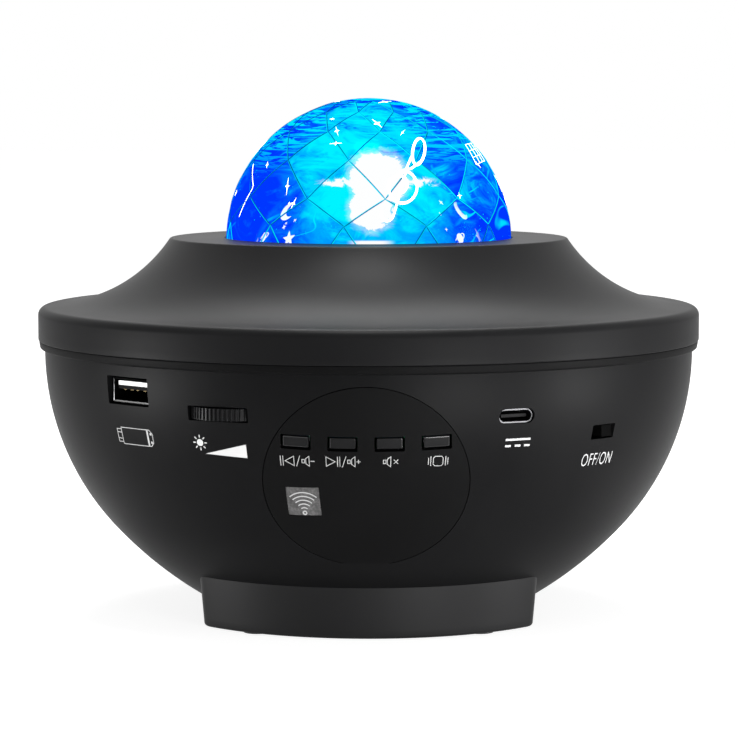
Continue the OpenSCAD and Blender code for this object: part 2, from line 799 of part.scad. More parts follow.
module mute_button() {
    button(2);
}

module mode_button() {
    button(3);
}

module previous_plunger() {
    plunger(0);
}

module next_plunger() {
    plunger(1);
}

module mute_plunger() {
    plunger(2);
}

module mode_plunger() {
    plunger(3);
}

module button_switches() {
    bore = PLUNGER_R + fit_gap;
    color(STEEL) button_frame() for (i = [0:3]) {
        translate([button_x(i), BUTTON_BOARD_Y - SWITCH_H - BOARD_GAP, 0]) difference() {
            translate([-SWITCH_SIDE / 2, 0, -SWITCH_SIDE / 2]) cube([SWITCH_SIDE, SWITCH_H, SWITCH_SIDE]);
            translate([0, -CUT, 0]) rotate([-90, 0, 0])
                cylinder(r = bore, h = PLUNGER_TIP_Y + PLUNGER_LEN + button_travel + MOVE_GAP
                    - BUTTON_BOARD_Y + SWITCH_H + CUT);
        }
    }
}

module button_board() {
    color(BOARD) button_frame() difference() {
        translate([-BOARD_HALF_W, BUTTON_BOARD_Y, BOARD_LOW])
            cube([2 * BOARD_HALF_W, BOARD_T, BOARD_HIGH - BOARD_LOW]);
        for (p = BUTTON_POSTS) {
            translate([p[0], BUTTON_BOARD_Y - CUT, p[1]]) rotate([-90, 0, 0])
                cylinder(r = M2[0] + fit_gap, h = BOARD_T + 2 * CUT);
        }
    }
}

module ir_receiver() {
    IR_X = -ir_offset;
    IR_UP = -14.5;
    color([0.08, 0.07, 0.08]) button_frame() translate([IR_X, BUTTON_BOARD_Y - BOARD_GAP, IR_UP]) {
        translate([-2.5, -2.6, -3]) cube([5, 2.6, 6]);
        translate([0, -2.6 + EPS, 0]) rotate([90, 0, 0]) cylinder(r = 1.9, h = 1.2);
    }
}

module board_screws() {
    color(STEEL) {
        for (p = MAIN_POSTS) {
            at_ring(p[0], p[1]) translate([0, 0, board_top + SEAT])
                screw([M2[0], M2[1] + BOARD_T, M2[2], M2[3]]);
        }
        button_frame() for (p = BUTTON_POSTS) {
            translate([p[0], BUTTON_BOARD_Y + BOARD_T + SEAT, p[1]]) rotate([-90, 0, 0])
                screw([M2[0], M2[1] + BOARD_T, M2[2], M2[3]]);
        }
    }
}

// ---------------------------------------------------------------- main board and ports

module main_board() {
    color(BOARD) difference() {
        rotate([0, 0, -90 - BOARD_HALF_ANGLE]) rotate_extrude(angle = 2 * BOARD_HALF_ANGLE, $fn = 128)
            translate([board_in_r, board_z]) square([board_edge_r - board_in_r, BOARD_T]);
        translate([-BOARD_NOTCH_X, -flange_r, board_z - CUT])
            cube([2 * BOARD_NOTCH_X, flange_r + notch_y, BOARD_T + 2 * CUT]);
        for (a = [PILLAR_AZ[0], PILLAR_AZ[1]]) {
            at_ring(a, PILLAR_R) translate([0, 0, board_z - CUT])
                cylinder(r = PILLAR_UP_R + 1, h = BOARD_T + 2 * CUT);
        }
        for (p = MAIN_POSTS) {
            at_ring(p[0], p[1]) translate([0, 0, board_z - CUT])
                cylinder(r = M2[0] + fit_gap, h = BOARD_T + 2 * CUT);
        }
    }
}

// Sockets of the leads
CONNECTOR_SET = 27.5;
CONNECTOR_W = 6;
CONNECTOR_D = 4;
// Chips, coils and sockets: [angle, distance in from the board's edge, width, depth, height]
BOARD_PARTS = concat([
    [0, 19.5, 10, 8, 1.4], [20, 17.5, 7, 7, 1.2], [44, 13.5, 9, 6, 1.6],
    [-50, 19.5, 8, 8, 3.2], [50, 25.5, 6, 8, 5.5], [-52, 28.5, 6, 5, 4.5]
], [for (a = [0, -14, 14]) [a, CONNECTOR_SET, CONNECTOR_W, CONNECTOR_D, CONNECTOR_D]]);
// Capacitors: [angle, distance in from the board's edge]
CAPACITORS = [[48, 7], [35, 5.5], [-54, 15]];
CAPACITOR_R = 2.5;
CAPACITOR_H = 7;

module board_parts() {
    color([0.1, 0.1, 0.11]) {
        for (p = BOARD_PARTS) {
            at_ring(p[0], board_edge_r - p[1]) translate([-p[2] / 2, -p[3] / 2, board_top + BOARD_GAP])
                cube([p[2], p[3], p[4]]);
        }
        for (p = CAPACITORS) {
            at_ring(p[0], board_edge_r - p[1]) translate([0, 0, board_top + BOARD_GAP])
                cylinder(r = CAPACITOR_R, h = CAPACITOR_H);
        }
        // The riser that lifts the play port off the board
        usb_a_frame() translate([-USB_A_W / 2, USB_A_RISER_SET, board_top - usb_a_z + BOARD_GAP])
            cube([USB_A_W, USB_A_LEN - USB_A_RISER_SET, usb_a_z - board_top - USB_A_H / 2 - 2 * BOARD_GAP]);
    }
}

// The play port's frame: its origin at the mouth's middle, +Y inwards
USB_A_BACK = 1.6;
module usb_a_frame() {
    at_ring(usb_a_az, bowl_at(usb_a_z) - USB_A_BACK) translate([0, 0, usb_a_z]) children();
}

module usb_a_shell() {
    color(STEEL) usb_a_frame() difference() {
        translate([-USB_A_W / 2, 0, -USB_A_H / 2]) cube([USB_A_W, USB_A_LEN, USB_A_H]);
        translate([-USB_A_W / 2 + USB_A_SHEET, -CUT, -USB_A_H / 2 + USB_A_SHEET])
            cube([USB_A_W - 2 * USB_A_SHEET, USB_A_LEN - USB_A_SHEET + CUT, USB_A_H - 2 * USB_A_SHEET]);
    }
}

USB_A_TONGUE_W = 11.1;
USB_A_TONGUE_T = 1.9;
USB_A_TONGUE_TOP = 2.1;
USB_A_TONGUE_SET = 0.8;
USB_A_BLOCK = 3.4;
USB_A_RISER_SET = 3.2;
module usb_a_insulator() {
    inner_w = USB_A_W - 2 * USB_A_SHEET - 2 * SEAT;
    inner_h = USB_A_H - 2 * USB_A_SHEET - 2 * SEAT;
    block_y = USB_A_LEN - USB_A_SHEET - SEAT - USB_A_BLOCK;
    color(WHITE) usb_a_frame() {
        translate([-USB_A_TONGUE_W / 2, USB_A_TONGUE_SET, USB_A_TONGUE_TOP - USB_A_TONGUE_T])
            cube([USB_A_TONGUE_W, block_y - USB_A_TONGUE_SET + EPS, USB_A_TONGUE_T]);
        translate([-inner_w / 2, block_y, -inner_h / 2]) cube([inner_w, USB_A_BLOCK, inner_h]);
    }
}

module usb_a_contacts() {
    color([0.85, 0.68, 0.3]) usb_a_frame() for (x = [-3.5, -1, 1, 3.5]) {
        translate([x - 0.5, USB_A_TONGUE_SET + 0.3, USB_A_TONGUE_TOP - USB_A_TONGUE_T - 0.2 - BOARD_GAP])
            cube([1, 7.4, 0.2]);
    }
}

// The power port's frame: its origin at the mouth's middle, +Y inwards
USB_C_BACK = 1;
module usb_c_frame() {
    at_ring(usb_c_az, bowl_at(usb_c_z) - USB_C_BACK) translate([0, 0, usb_c_z]) children();
}

module usb_c_shell() {
    color(STEEL) usb_c_frame() difference() {
        stadium(USB_C_W, USB_C_H, 0, USB_C_LEN);
        stadium(USB_C_W - 2 * USB_C_SHEET, USB_C_H - 2 * USB_C_SHEET, -CUT, USB_C_LEN - USB_C_SHEET);
    }
}

module usb_c_insulator() {
    gap = 2 * USB_C_SHEET + 2 * SEAT;
    color([0.08, 0.08, 0.08]) usb_c_frame() {
        translate([-3.3, 0.9, -0.35]) cube([6.6, 4.4, 0.7]);
        stadium(USB_C_W - gap, USB_C_H - gap, 5.2, USB_C_LEN - USB_C_SHEET - SEAT);
    }
}

// ---------------------------------------------------------------- dial and switch

dial_ring_r = bowl_at(dial_z) + dial_proud - dial_r;
DIAL_AXLE_R = 1.5;
module brightness_dial() {
    color(SHELL) at_ring(dial_az, dial_ring_r) translate([0, 0, dial_z - dial_t / 2]) difference() {
        linear_extrude(height = dial_t) polygon(rib_outline(dial_ribs, dial_r));
        translate([0, 0, -CUT]) cylinder(r = DIAL_AXLE_R + RUN, h = dial_t + 2 * CUT);
    }
}

module dial_potentiometer() {
    arm_z = dial_z + dial_t / 2 + AXIAL;
    back = dial_r + MOVE_GAP;
    color([0.15, 0.15, 0.17]) at_ring(dial_az, dial_ring_r) {
        translate([0, 0, board_top + SEAT]) cylinder(r = DIAL_AXLE_R, h = arm_z - board_top);
        translate([0, 0, arm_z]) cylinder(r = 4.5, h = 2.4);
        translate([-3, 0, arm_z]) cube([6, back + 3, 2.4]);
        translate([-3, back, board_top + SEAT]) cube([6, 3, arm_z - board_top]);
    }
}

SLIDER_W = 3.4;
SLIDER_H = 2.7;
SWITCH_BACK = 0.7;
SWITCH_CASE_W = 9.4;
SWITCH_CASE_H = 3.6;
SWITCH_CASE_D = 4.6;
module switch_frame() {
    at_ring(switch_az, bowl_at(switch_z) - SWITCH_BACK) translate([0, 0, switch_z]) children();
}

SWITCH_TIP = 3;
module power_slider() {
    color([0.06, 0.06, 0.06]) switch_frame() translate([switch_travel / 2, 0, 0]) {
        translate([-SLIDER_W / 2, 0, -SLIDER_H / 2]) cube([SLIDER_W, SWITCH_TIP + 0.5, SLIDER_H]);
        translate([-SLIDER_W / 2, SWITCH_TIP + 0.5 - EPS, -0.75]) cube([SLIDER_W, 2, 1.5]);
    }
}

module power_switch_case() {
    slot_w = SLIDER_W + switch_travel + 2 * MOVE_GAP;
    color(STEEL) switch_frame() translate([0, SWITCH_TIP + 0.5 + AXIAL, 0]) difference() {
        translate([-SWITCH_CASE_W / 2, 0, -SWITCH_CASE_H / 2])
            cube([SWITCH_CASE_W, SWITCH_CASE_D, SWITCH_CASE_H]);
        translate([-slot_w / 2, -CUT, -0.75 - AXIAL]) cube([slot_w, 2 + CUT + AXIAL, 1.5 + 2 * AXIAL]);
    }
}

// ---------------------------------------------------------------- light unit

module lamp_carrier() {
    color(WHITE) difference() {
        union() {
            translate([0, 0, carrier_z]) cylinder(r = CARRIER_R, h = CARRIER_T);
            intersection() {
                translate([0, 0, carrier_z]) cylinder(r = CARRIER_WING_R, h = CARRIER_T);
                translate([-CARRIER_WING_R, -CARRIER_WING_HALF, carrier_z])
                    cube([2 * CARRIER_WING_R, 2 * CARRIER_WING_HALF, CARRIER_T]);
            }
        }
        translate([0, 0, carrier_z - CUT]) cylinder(r = FIN_R + 0.8, h = CARRIER_T + 2 * CUT);
        for (a = CARRIER_POSTS) {
            at_ring(a, CARRIER_POST_RING) translate([0, 0, carrier_z - CUT])
                cylinder(r = M25[0] + fit_gap, h = CARRIER_T + 2 * CUT);
        }
        for (a = [60, 180, 300]) {
            at_ring(a, TUBE_SCREW_RING) translate([0, 0, carrier_z - CUT])
                cylinder(r = M2[0] + PILOT, h = CARRIER_T + 2 * CUT);
        }
        motor_place() {
            translate([0, 0, carrier_z - CUT]) cylinder(r = MOTOR_BOSS_R + fit_gap, h = CARRIER_T + 2 * CUT);
            for (x = [-MOTOR_EAR, MOTOR_EAR]) {
                translate([x, 0, carrier_z - CUT]) cylinder(r = M2[0] + PILOT, h = CARRIER_T + 2 * CUT);
            }
        }
        translate([0, -LEAD_HOLE_Y, carrier_z - CUT]) cylinder(r = LEAD_SLOT / 2, h = CARRIER_T + 2 * CUT);
        for (a = PILLAR_AZ) {
            at_ring(a, PILLAR_R) translate([0, 0, carrier_z - CUT])
                cylinder(r = PILLAR_UP_R + MOVE_GAP, h = CARRIER_T + 2 * CUT);
        }
    }
}

module carrier_screws() {
    color(STEEL) for (a = CARRIER_POSTS) {
        at_ring(a, CARRIER_POST_RING) translate([0, 0, carrier_z - SEAT]) rotate([180, 0, 0])
            screw([M25[0], M25[1] + CARRIER_T - 0.3, M25[2], M25[3]]);
    }
}

module heat_sink() {
    color([0.75, 0.76, 0.78]) difference() {
        union() {
            translate([0, 0, carrier_top + SEAT]) cylinder(r = SINK_R, h = SINK_T);
            intersection() {
                translate([0, 0, carrier_z - FIN_H]) cylinder(r = FIN_R, h = FIN_H + CARRIER_T + SEAT + EPS);
                for (i = [-4:4]) {
                    translate([i * FIN_PITCH - FIN_T / 2, -FIN_R, carrier_z - FIN_H])
                        cube([FIN_T, 2 * FIN_R, FIN_H + CARRIER_T + 1]);
                }
            }
        }
        for (a = [30, 150, 270]) {
            at_ring(a, LED_SCREW_RING) translate([0, 0, carrier_top])
                cylinder(r = M2[0] + PILOT, h = SINK_T + CUT);
        }
        translate([-LEAD_R - MOVE_GAP, -SINK_R - CUT, carrier_z])
            cube([2 * (LEAD_R + MOVE_GAP), SINK_R + CUT - LED_BOARD_R - 0.2, SINK_T + CARRIER_T + CUT]);
    }
}

module led_board() {
    color([0.9, 0.9, 0.9]) difference() {
        translate([0, 0, sink_top + SEAT]) cylinder(r = LED_BOARD_R, h = BOARD_T);
        for (a = [30, 150, 270]) {
            at_ring(a, LED_SCREW_RING) translate([0, 0, sink_top - CUT])
                cylinder(r = M2[0] + fit_gap, h = BOARD_T + 2 * CUT);
        }
    }
}

module led_chips() {
    color([0.95, 0.9, 0.6]) for (a = [45, 135, 225, 315]) {
        at_ring(a, LED_RING) translate([-LED_SIDE / 2, -LED_SIDE / 2, led_top + BOARD_GAP])
            cube([LED_SIDE, LED_SIDE, LED_H]);
    }
}

module led_screws() {
    color(STEEL) for (a = [30, 150, 270]) {
        at_ring(a, LED_SCREW_RING) translate([0, 0, led_top + SEAT])
            screw([M2[0], SINK_T + BOARD_T - 0.1, M2[2], M2[3]]);
    }
}

module light_tube() {
    inner_r = tube_r - tube_wall;
    color(WHITE) difference() {
        union() {
            translate([0, 0, carrier_top + SEAT]) cylinder(r = tube_r, h = tube_top - carrier_top - SEAT);
            translate([0, 0, carrier_top + SEAT]) cylinder(r = TUBE_FLANGE_R, h = TUBE_FLANGE_T);
            translate([0, 0, tube_seat_z]) cylinder(r = tube_r + TUBE_SHOULDER, h = TUBE_SHOULDER_T);
        }
        translate([0, 0, carrier_top - CUT]) cylinder(r = inner_r, h = tube_ledge_z - carrier_top + CUT);
        translate([0, 0, carrier_top]) cylinder(r = lens_r - TUBE_LEDGE_W, h = tube_top - carrier_top + CUT);
        translate([0, 0, tube_ledge_z + TUBE_LEDGE_T]) cylinder(r = lens_r + fit_gap, h = tube_top);
        for (a = [60, 180, 300]) {
            at_ring(a, TUBE_SCREW_RING) translate([0, 0, carrier_top - CUT])
                cylinder(r = M2[0] + fit_gap, h = TUBE_FLANGE_T + 2 * CUT);
        }
        translate([-LEAD_SLOT / 2, -TUBE_FLANGE_R - CUT, carrier_top - CUT])
            cube([LEAD_SLOT, TUBE_FLANGE_R + CUT - inner_r + TUBE_LEDGE_W, TUBE_FLANGE_T + 0.4 + CUT]);
        motor_place() translate([0, 0, carrier_top - CUT])
            cylinder(r = MOTOR_BOSS_R + MOVE_GAP, h = TUBE_FLANGE_T + 2 * CUT);
    }
}

module tube_screws() {
    color(STEEL) for (a = [60, 180, 300]) {
        at_ring(a, TUBE_SCREW_RING) translate([0, 0, carrier_top + SEAT + TUBE_FLANGE_T + SEAT])
            screw([M2[0], TUBE_FLANGE_T + CARRIER_T - 0.2, M2[2], M2[3]]);
    }
}

LENS_RIM = 2;
module condenser_lens() {
    cap_h = lens_h - LENS_RIM;
    cap_r = (pow(lens_r, 2) + pow(cap_h, 2)) / (2 * cap_h);
    base = tube_ledge_z + TUBE_LEDGE_T + SEAT;
    color([0.8, 0.9, 1, 0.5]) intersection() {
        translate([0, 0, base]) cylinder(r = lens_r, h = lens_h + CUT);
        translate([0, 0, base + lens_h - cap_r]) sphere(r = cap_r, $fn = 96);
    }
}

module pattern_ring() {
    color(WHITE) difference() {
        translate([0, 0, ring_z]) linear_extrude(height = RING_T)
            rotate(90) polygon(gear_outline(ring_teeth, ring_pitch_r));
        translate([0, 0, ring_z - CUT]) cylinder(r = tube_r + RUN, h = RING_T + 2 * CUT);
    }
}

module pattern_dome() {
    color([0.2, 0.6, 1, 0.5]) difference() {
        translate([0, 0, ring_top + BOARD_GAP]) sphere(r = pattern_r, $fn = 128);
        translate([0, 0, ring_top + BOARD_GAP]) sphere(r = pattern_r - pattern_t, $fn = 128);
        translate([-flange_r, -flange_r, ring_top + BOARD_GAP - flange_r])
            cube([flange_d, flange_d, flange_r]);
    }
}

CLIP_W = 2.4;
module ring_clip() {
    color(SHELL) ring(tube_r + CLIP_W, tube_r + BOARD_GAP, ring_top + AXIAL, CLIP_T);
}

// The motor's axis, behind the tube
module motor_place() {
    translate([0, gear_distance, 0]) children();
}

motor_top = carrier_z - SEAT;
MOTOR_BORE = 6;
module pattern_motor() {
    color([0.7, 0.72, 0.74]) motor_place() difference() {
        union() {
            translate([0, 0, motor_top - MOTOR_H]) cylinder(r = MOTOR_R, h = MOTOR_H);
            translate([0, 0, motor_top - EPS]) cylinder(r = MOTOR_BOSS_R, h = CARRIER_T + 1);
            translate([-MOTOR_EAR - MOTOR_EAR_R, -MOTOR_EAR_R, motor_top - MOTOR_EAR_T])
                cube([2 * (MOTOR_EAR + MOTOR_EAR_R), 2 * MOTOR_EAR_R, MOTOR_EAR_T]);
        }
        translate([0, 0, motor_top - MOTOR_BORE])
            cylinder(r = MOTOR_SHAFT_R + RUN, h = MOTOR_BORE + CARRIER_T + 2);
        for (x = [-MOTOR_EAR, MOTOR_EAR]) {
            translate([x, 0, motor_top - MOTOR_EAR_T - CUT])
                cylinder(r = M2[0] + fit_gap, h = MOTOR_EAR_T + 2 * CUT);
        }
    }
}

module motor_screws() {
    color(STEEL) motor_place() for (x = [-MOTOR_EAR, MOTOR_EAR]) {
        translate([x, 0, motor_top - MOTOR_EAR_T - SEAT]) rotate([180, 0, 0])
            screw([M2[0], CARRIER_T + 0.9, M2[2], M2[3]]);
    }
}

module motor_shaft() {
    color(STEEL) motor_place() translate([0, 0, motor_top - MOTOR_BORE + AXIAL])
        cylinder(r = MOTOR_SHAFT_R, h = ring_top + 0.3 - motor_top + MOTOR_BORE);
}

module drive_pinion() {
    color([0.9, 0.88, 0.8]) motor_place() difference() {
        union() {
            translate([0, 0, ring_z - 0.3]) rotate([0, 0, 180 / pinion_teeth - 90])
                linear_extrude(height = RING_T + 0.3) polygon(gear_outline(pinion_teeth, pinion_pitch_r));
            translate([0, 0, ring_z - 2.5]) cylinder(r = pinion_pitch_r - GEAR_DED - 0.6, h = 2.5);
        }
        translate([0, 0, ring_z - 3]) cylinder(r = MOTOR_SHAFT_R + 0.02, h = RING_T + 5);
    }
}

// ---------------------------------------------------------------- speaker

GRILLE_PITCH = 3.8;
GRILLE_RINGS = 4;
module speaker_grille() {
    color(SHELL) translate([0, 0, floor_z]) difference() {
        cylinder(r = grille_r, h = grille_t - SEAT);
        translate([0, 0, -CUT]) cylinder(r = grille_hole_r, h = grille_t + 2 * CUT, $fn = 24);
        for (k = [1:GRILLE_RINGS]) for (i = [0:6 * k - 1]) {
            rotate([0, 0, i * 60 / k]) translate([k * GRILLE_PITCH, 0, -CUT])
                cylinder(r = grille_hole_r, h = grille_t + 2 * CUT, $fn = 24);
        }
    }
}

module speaker_gasket() {
    color([0.2, 0.2, 0.2]) difference() {
        ring(speaker_r, basket_r, gasket_z, GASKET_T);
        speaker_holes(gasket_z, GASKET_T);
    }
}

module speaker_holes(z, t) {
    for (a = SPEAKER_SCREW_AZ) {
        at_ring(a, SPEAKER_SCREW_RING) translate([0, 0, z - CUT])
            cylinder(r = M2[0] + fit_gap, h = t + 2 * CUT);
    }
}

BASKET_T = 1;
BASKET_COLLAR = 3;
basket_r = SPEAKER_OPEN_R + 0.6;
module speaker_frame() {
    color([0.3, 0.31, 0.33]) difference() {
        rotate_extrude($fn = 96) polygon([
            [basket_r, frame_z], [speaker_r, frame_z],
            [speaker_r, frame_z + SPEAKER_FLANGE_T], [basket_r + BASKET_T, frame_z + SPEAKER_FLANGE_T],
            [basket_r + BASKET_T, frame_z + BASKET_COLLAR], [magnet_r + BASKET_T, basket_top],
            [COIL_R + COIL_GAP + 0.4, basket_top], [COIL_R + COIL_GAP + 0.4, basket_top - BASKET_T],
            [magnet_r, basket_top - BASKET_T], [basket_r, frame_z + BASKET_COLLAR - 0.3]
        ]);
        speaker_holes(frame_z, SPEAKER_FLANGE_T);
    }
}

module speaker_magnet() {
    base = basket_top + SEAT;
    color([0.35, 0.35, 0.36]) difference() {
        translate([0, 0, base]) cylinder(r = magnet_r, h = MAGNET_H);
        difference() {
            translate([0, 0, base - CUT]) cylinder(r = COIL_R + COIL_GAP, h = MAGNET_H - 2 + CUT);
            translate([0, 0, base - 2 * CUT]) cylinder(r = COIL_R - COIL_T - COIL_GAP, h = MAGNET_H);
        }
    }
}

CONE_T = 0.8;
module speaker_cone() {
    low = frame_z + 0.8;
    neck = basket_top - BASKET_T - cone_travel - 0.6;
    rim = SPEAKER_OPEN_R - 0.2;
    roll = 3;
    color([0.12, 0.12, 0.13]) rotate_extrude($fn = 96) polygon([
        [0, neck - 2.4], [COIL_R * 0.7, neck - 1.4], [COIL_R, neck - 0.2], [rim - roll, low + 0.4],
        [rim - roll / 2, low - 0.3], [rim, low + 0.2], [rim, low + 0.2 + CONE_T],
        [rim - roll / 2, low - 0.3 + CONE_T], [rim - roll, low + 0.4 + CONE_T],
        [COIL_R, neck + CONE_T], [COIL_R, basket_top + 4], [COIL_R - COIL_T, basket_top + 4],
        [COIL_R - COIL_T, neck + CONE_T - 0.6], [COIL_R * 0.6, neck - 1.4 + CONE_T], [0, neck - 2.4 + CONE_T]
    ]);
}

module speaker_screws() {
    color(STEEL) for (a = SPEAKER_SCREW_AZ) {
        at_ring(a, SPEAKER_SCREW_RING) translate([0, 0, frame_z + SPEAKER_FLANGE_T + SEAT])
            screw([M2[0], SPEAKER_FLANGE_T + GASKET_T + 0.6, M2[2], M2[3]]);
    }
}

// ---------------------------------------------------------------- leads

// Way of each lead, its heights counted from the board or the piece that it starts on
led_lead_route = [
    [0, -17.4, led_top + 0.7], [0, -19.4, led_top + 0.8], [0, -20.9, led_top + 0.4],
    [0, -21.3, led_top - 0.5], [0, -21.3, led_top - 1.4], [0, -21.9, carrier_top + 1.4],
    [0, -23.5, carrier_top + 1],
    [0, -28, carrier_top + 0.95], [0, -31.5, carrier_top + 0.95], [0, -33.4, carrier_top + 0.2],
    [0, -34, carrier_top - 1.5], [0, -34, carrier_top - 6], [0, -35, board_top + 8],
    [0, -38, board_top + 4.6], [0, -42, board_top + 2.5], [0, -47.9, board_top + 2]
];
motor_lead_route = [
    [0, 33, motor_top - MOTOR_H - SEAT], [0, 33, motor_top - MOTOR_H - 2.4], [-1, 32, board_top - 3.9],
    [-5, 28.5, board_top - 5.6], [-11, 20, board_top - 6.4], [-17, 8, board_top - 6.4],
    [-19, -6, board_top - 6.4], [-18.5, -20, board_top - 5.9], [-16.5, -30, board_top - 3.6],
    [-15.5, -35, board_top - 0.7], [-14, -40, board_top + 1.4], [-12.3, -43.6, board_top + 2],
    [-11.45, -45.95, board_top + 2]
];
speaker_lead_route = [
    [12.6, -12.6, basket_top - 2.6], [13.5, -13.5, basket_top - 0.7], [14.5, -15, basket_top + 5.3],
    [15, -18, basket_top + 15], [15, -22, basket_top + 25], [14.5, -29, board_top - 3.4],
    [13.8, -36, board_top + 0.2], [12.6, -42, board_top + 1.9], [11.45, -45.95, board_top + 2]
];

module led_leads() {
    color([0.7, 0.1, 0.1]) lead(led_lead_route, LEAD_R);
}

module motor_leads() {
    color([0.1, 0.1, 0.7]) lead(motor_lead_route, LEAD_R);
}

module speaker_leads() {
    color([0.7, 0.1, 0.1]) lead(speaker_lead_route, LEAD_R);
}

// ---------------------------------------------------------------- the pieces

upper_shell();
lower_shell();
front_foot();
rear_foot();
rubber_pads();
case_screws();
dome_cover();
dome_ring();
dome_ring_screws();
control_panel();
ir_window();
previous_button();
next_button();
mute_button();
mode_button();
previous_plunger();
next_plunger();
mute_plunger();
mode_plunger();
button_board();
button_switches();
ir_receiver();
board_screws();
main_board();
board_parts();
usb_a_shell();
usb_a_insulator();
usb_a_contacts();
usb_c_shell();
usb_c_insulator();
brightness_dial();
dial_potentiometer();
power_slider();
power_switch_case();
lamp_carrier();
carrier_screws();
heat_sink();
led_board();
led_chips();
led_screws();
light_tube();
tube_screws();
condenser_lens();
pattern_ring();
pattern_dome();
ring_clip();
pattern_motor();
motor_screws();
motor_shaft();
drive_pinion();
speaker_grille();
speaker_gasket();
speaker_frame();
speaker_magnet();
speaker_cone();
speaker_screws();
led_leads();
motor_leads();
speaker_leads();
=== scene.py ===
import math
import random

import bmesh
import bpy
import numpy as np
from mathutils import Matrix, Vector
from mathutils.geometry import tessellate_polygon


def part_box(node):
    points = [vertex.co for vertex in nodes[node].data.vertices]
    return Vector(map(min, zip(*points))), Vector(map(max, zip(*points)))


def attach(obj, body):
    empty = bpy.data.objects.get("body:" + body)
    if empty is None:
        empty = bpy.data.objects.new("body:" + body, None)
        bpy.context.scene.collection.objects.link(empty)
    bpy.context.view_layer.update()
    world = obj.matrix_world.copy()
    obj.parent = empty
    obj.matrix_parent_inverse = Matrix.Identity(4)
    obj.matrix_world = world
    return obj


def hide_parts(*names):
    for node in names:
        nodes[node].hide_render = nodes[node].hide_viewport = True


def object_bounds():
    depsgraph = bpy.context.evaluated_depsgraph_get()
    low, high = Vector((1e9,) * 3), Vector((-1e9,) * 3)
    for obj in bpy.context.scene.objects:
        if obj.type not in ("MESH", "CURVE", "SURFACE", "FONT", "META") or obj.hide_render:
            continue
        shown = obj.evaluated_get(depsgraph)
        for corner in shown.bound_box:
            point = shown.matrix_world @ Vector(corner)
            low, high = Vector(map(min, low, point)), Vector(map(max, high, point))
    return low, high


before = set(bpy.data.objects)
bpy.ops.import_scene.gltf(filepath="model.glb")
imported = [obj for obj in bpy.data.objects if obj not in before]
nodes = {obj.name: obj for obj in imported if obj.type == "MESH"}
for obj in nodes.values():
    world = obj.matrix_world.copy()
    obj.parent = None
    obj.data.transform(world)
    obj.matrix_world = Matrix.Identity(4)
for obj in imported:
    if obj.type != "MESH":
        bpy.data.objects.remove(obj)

cad_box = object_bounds()
MM = 0.001

# ------------------------------------------------------------------ sizes, in millimetres
# What the frame gives
FLANGE_R = cad_box[1].x / MM
PLATE_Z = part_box("upper_shell")[1].z / MM
FLOOR_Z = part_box("lower_shell")[0].z / MM
FOOT_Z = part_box("front_foot")[0].z / MM
FOOT_R = -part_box("front_foot")[0].y / MM
DOME_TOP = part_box("dome_cover")[1].z / MM
PATTERN_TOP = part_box("pattern_dome")[1].z / MM
PATTERN_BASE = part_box("pattern_dome")[0].z / MM
PATTERN_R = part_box("pattern_dome")[1].x / MM

# What it shares with the model's driving dimensions
SEAM_Z = FOOT_Z + 68.4
WALL = 2.4
FIT = 0.15                                  # between an opening and what fills it
FLANGE_WALL_H = 6.3
FLANGE_ROUND = 2
FLARE_R = 38.7
PLATE_R = 50.5
PLATE_ROUND = 0.7
LIP_R = FLANGE_R - 0.2
LIP_H = 2.1
BOWL_R = FLANGE_R - 1.65
BOWL_ARC_TOP = SEAM_Z - 2.7
BOWL_R1 = 65.6
BOWL_R2 = 100.5
BOWL_TURN = math.radians(42.9)
FOOT_W = 10
FOOT_DRAFT = 1.1
FOOT_HALF = math.radians(45.7)
FOOT_EDGE = 0.8
DOME_R = 36.4
DOME_T = 1.8
DOME_FLANGE_W = 4.6
DOME_FLANGE_T = 1.6
SEAT = 0.05                                 # between parts that lie against each other
DOME_FLANGE_Z = PLATE_Z - WALL - SEAT - DOME_FLANGE_T
PATTERN_T = 1.2
PANEL_R = 24
PANEL_T = 1.2
PANEL_Z = SEAM_Z - 28.9
PANEL_TILT = 23.5
PANEL_AZ = -0.4
BUTTON_W = 6
BUTTON_H = 2.6
BUTTON_GAP = 0.5
BUTTON_PITCH = 10.85
BUTTON_Z = SEAM_Z - 18.4
BUTTON_TILT = 13.8
BUTTON_RECESS = 0.35
BUTTON_DEPTH = 6.3
IR_SIZE = 8
IR_Z = SEAM_Z - 32.6
IR_OFFSET = 14.6
WINDOW_INSET = 0.12
USB_A_AZ, USB_A_Z, USB_A_OPEN = -44.2, SEAM_Z - 8.2, (14.2, 6.8)
USB_C_AZ, USB_C_Z, USB_C_OPEN = 25, SEAM_Z - 12.5, (9.24, 3.56)
DIAL_AZ, DIAL_Z, DIAL_OPEN = -25.5, SEAM_Z - 12.1, (15.7, 3.5)
SWITCH_AZ, SWITCH_Z, SWITCH_OPEN = 43.7, SEAM_Z - 17.8, (7.75, 3.5)
GRILLE_R = 24
GRILLE_T = 1.5
SPEAKER_OPEN_R = 20

# Only for the look
SEGMENTS = 288
EDGE = 0.25
GROOVE = 0.2
PRINT_T = 0.03
PRINT_SINK = 0.02                           # depth of a figure's lower side in the surface
BAND = (SEAM_Z - LIP_H - 0.5, 20)           # heights between which the bowl holds the panel and the window
COARSE_STEPS, FINE_STEPS = (44, 28), (88, 40)   # steps along the bowl's two arcs

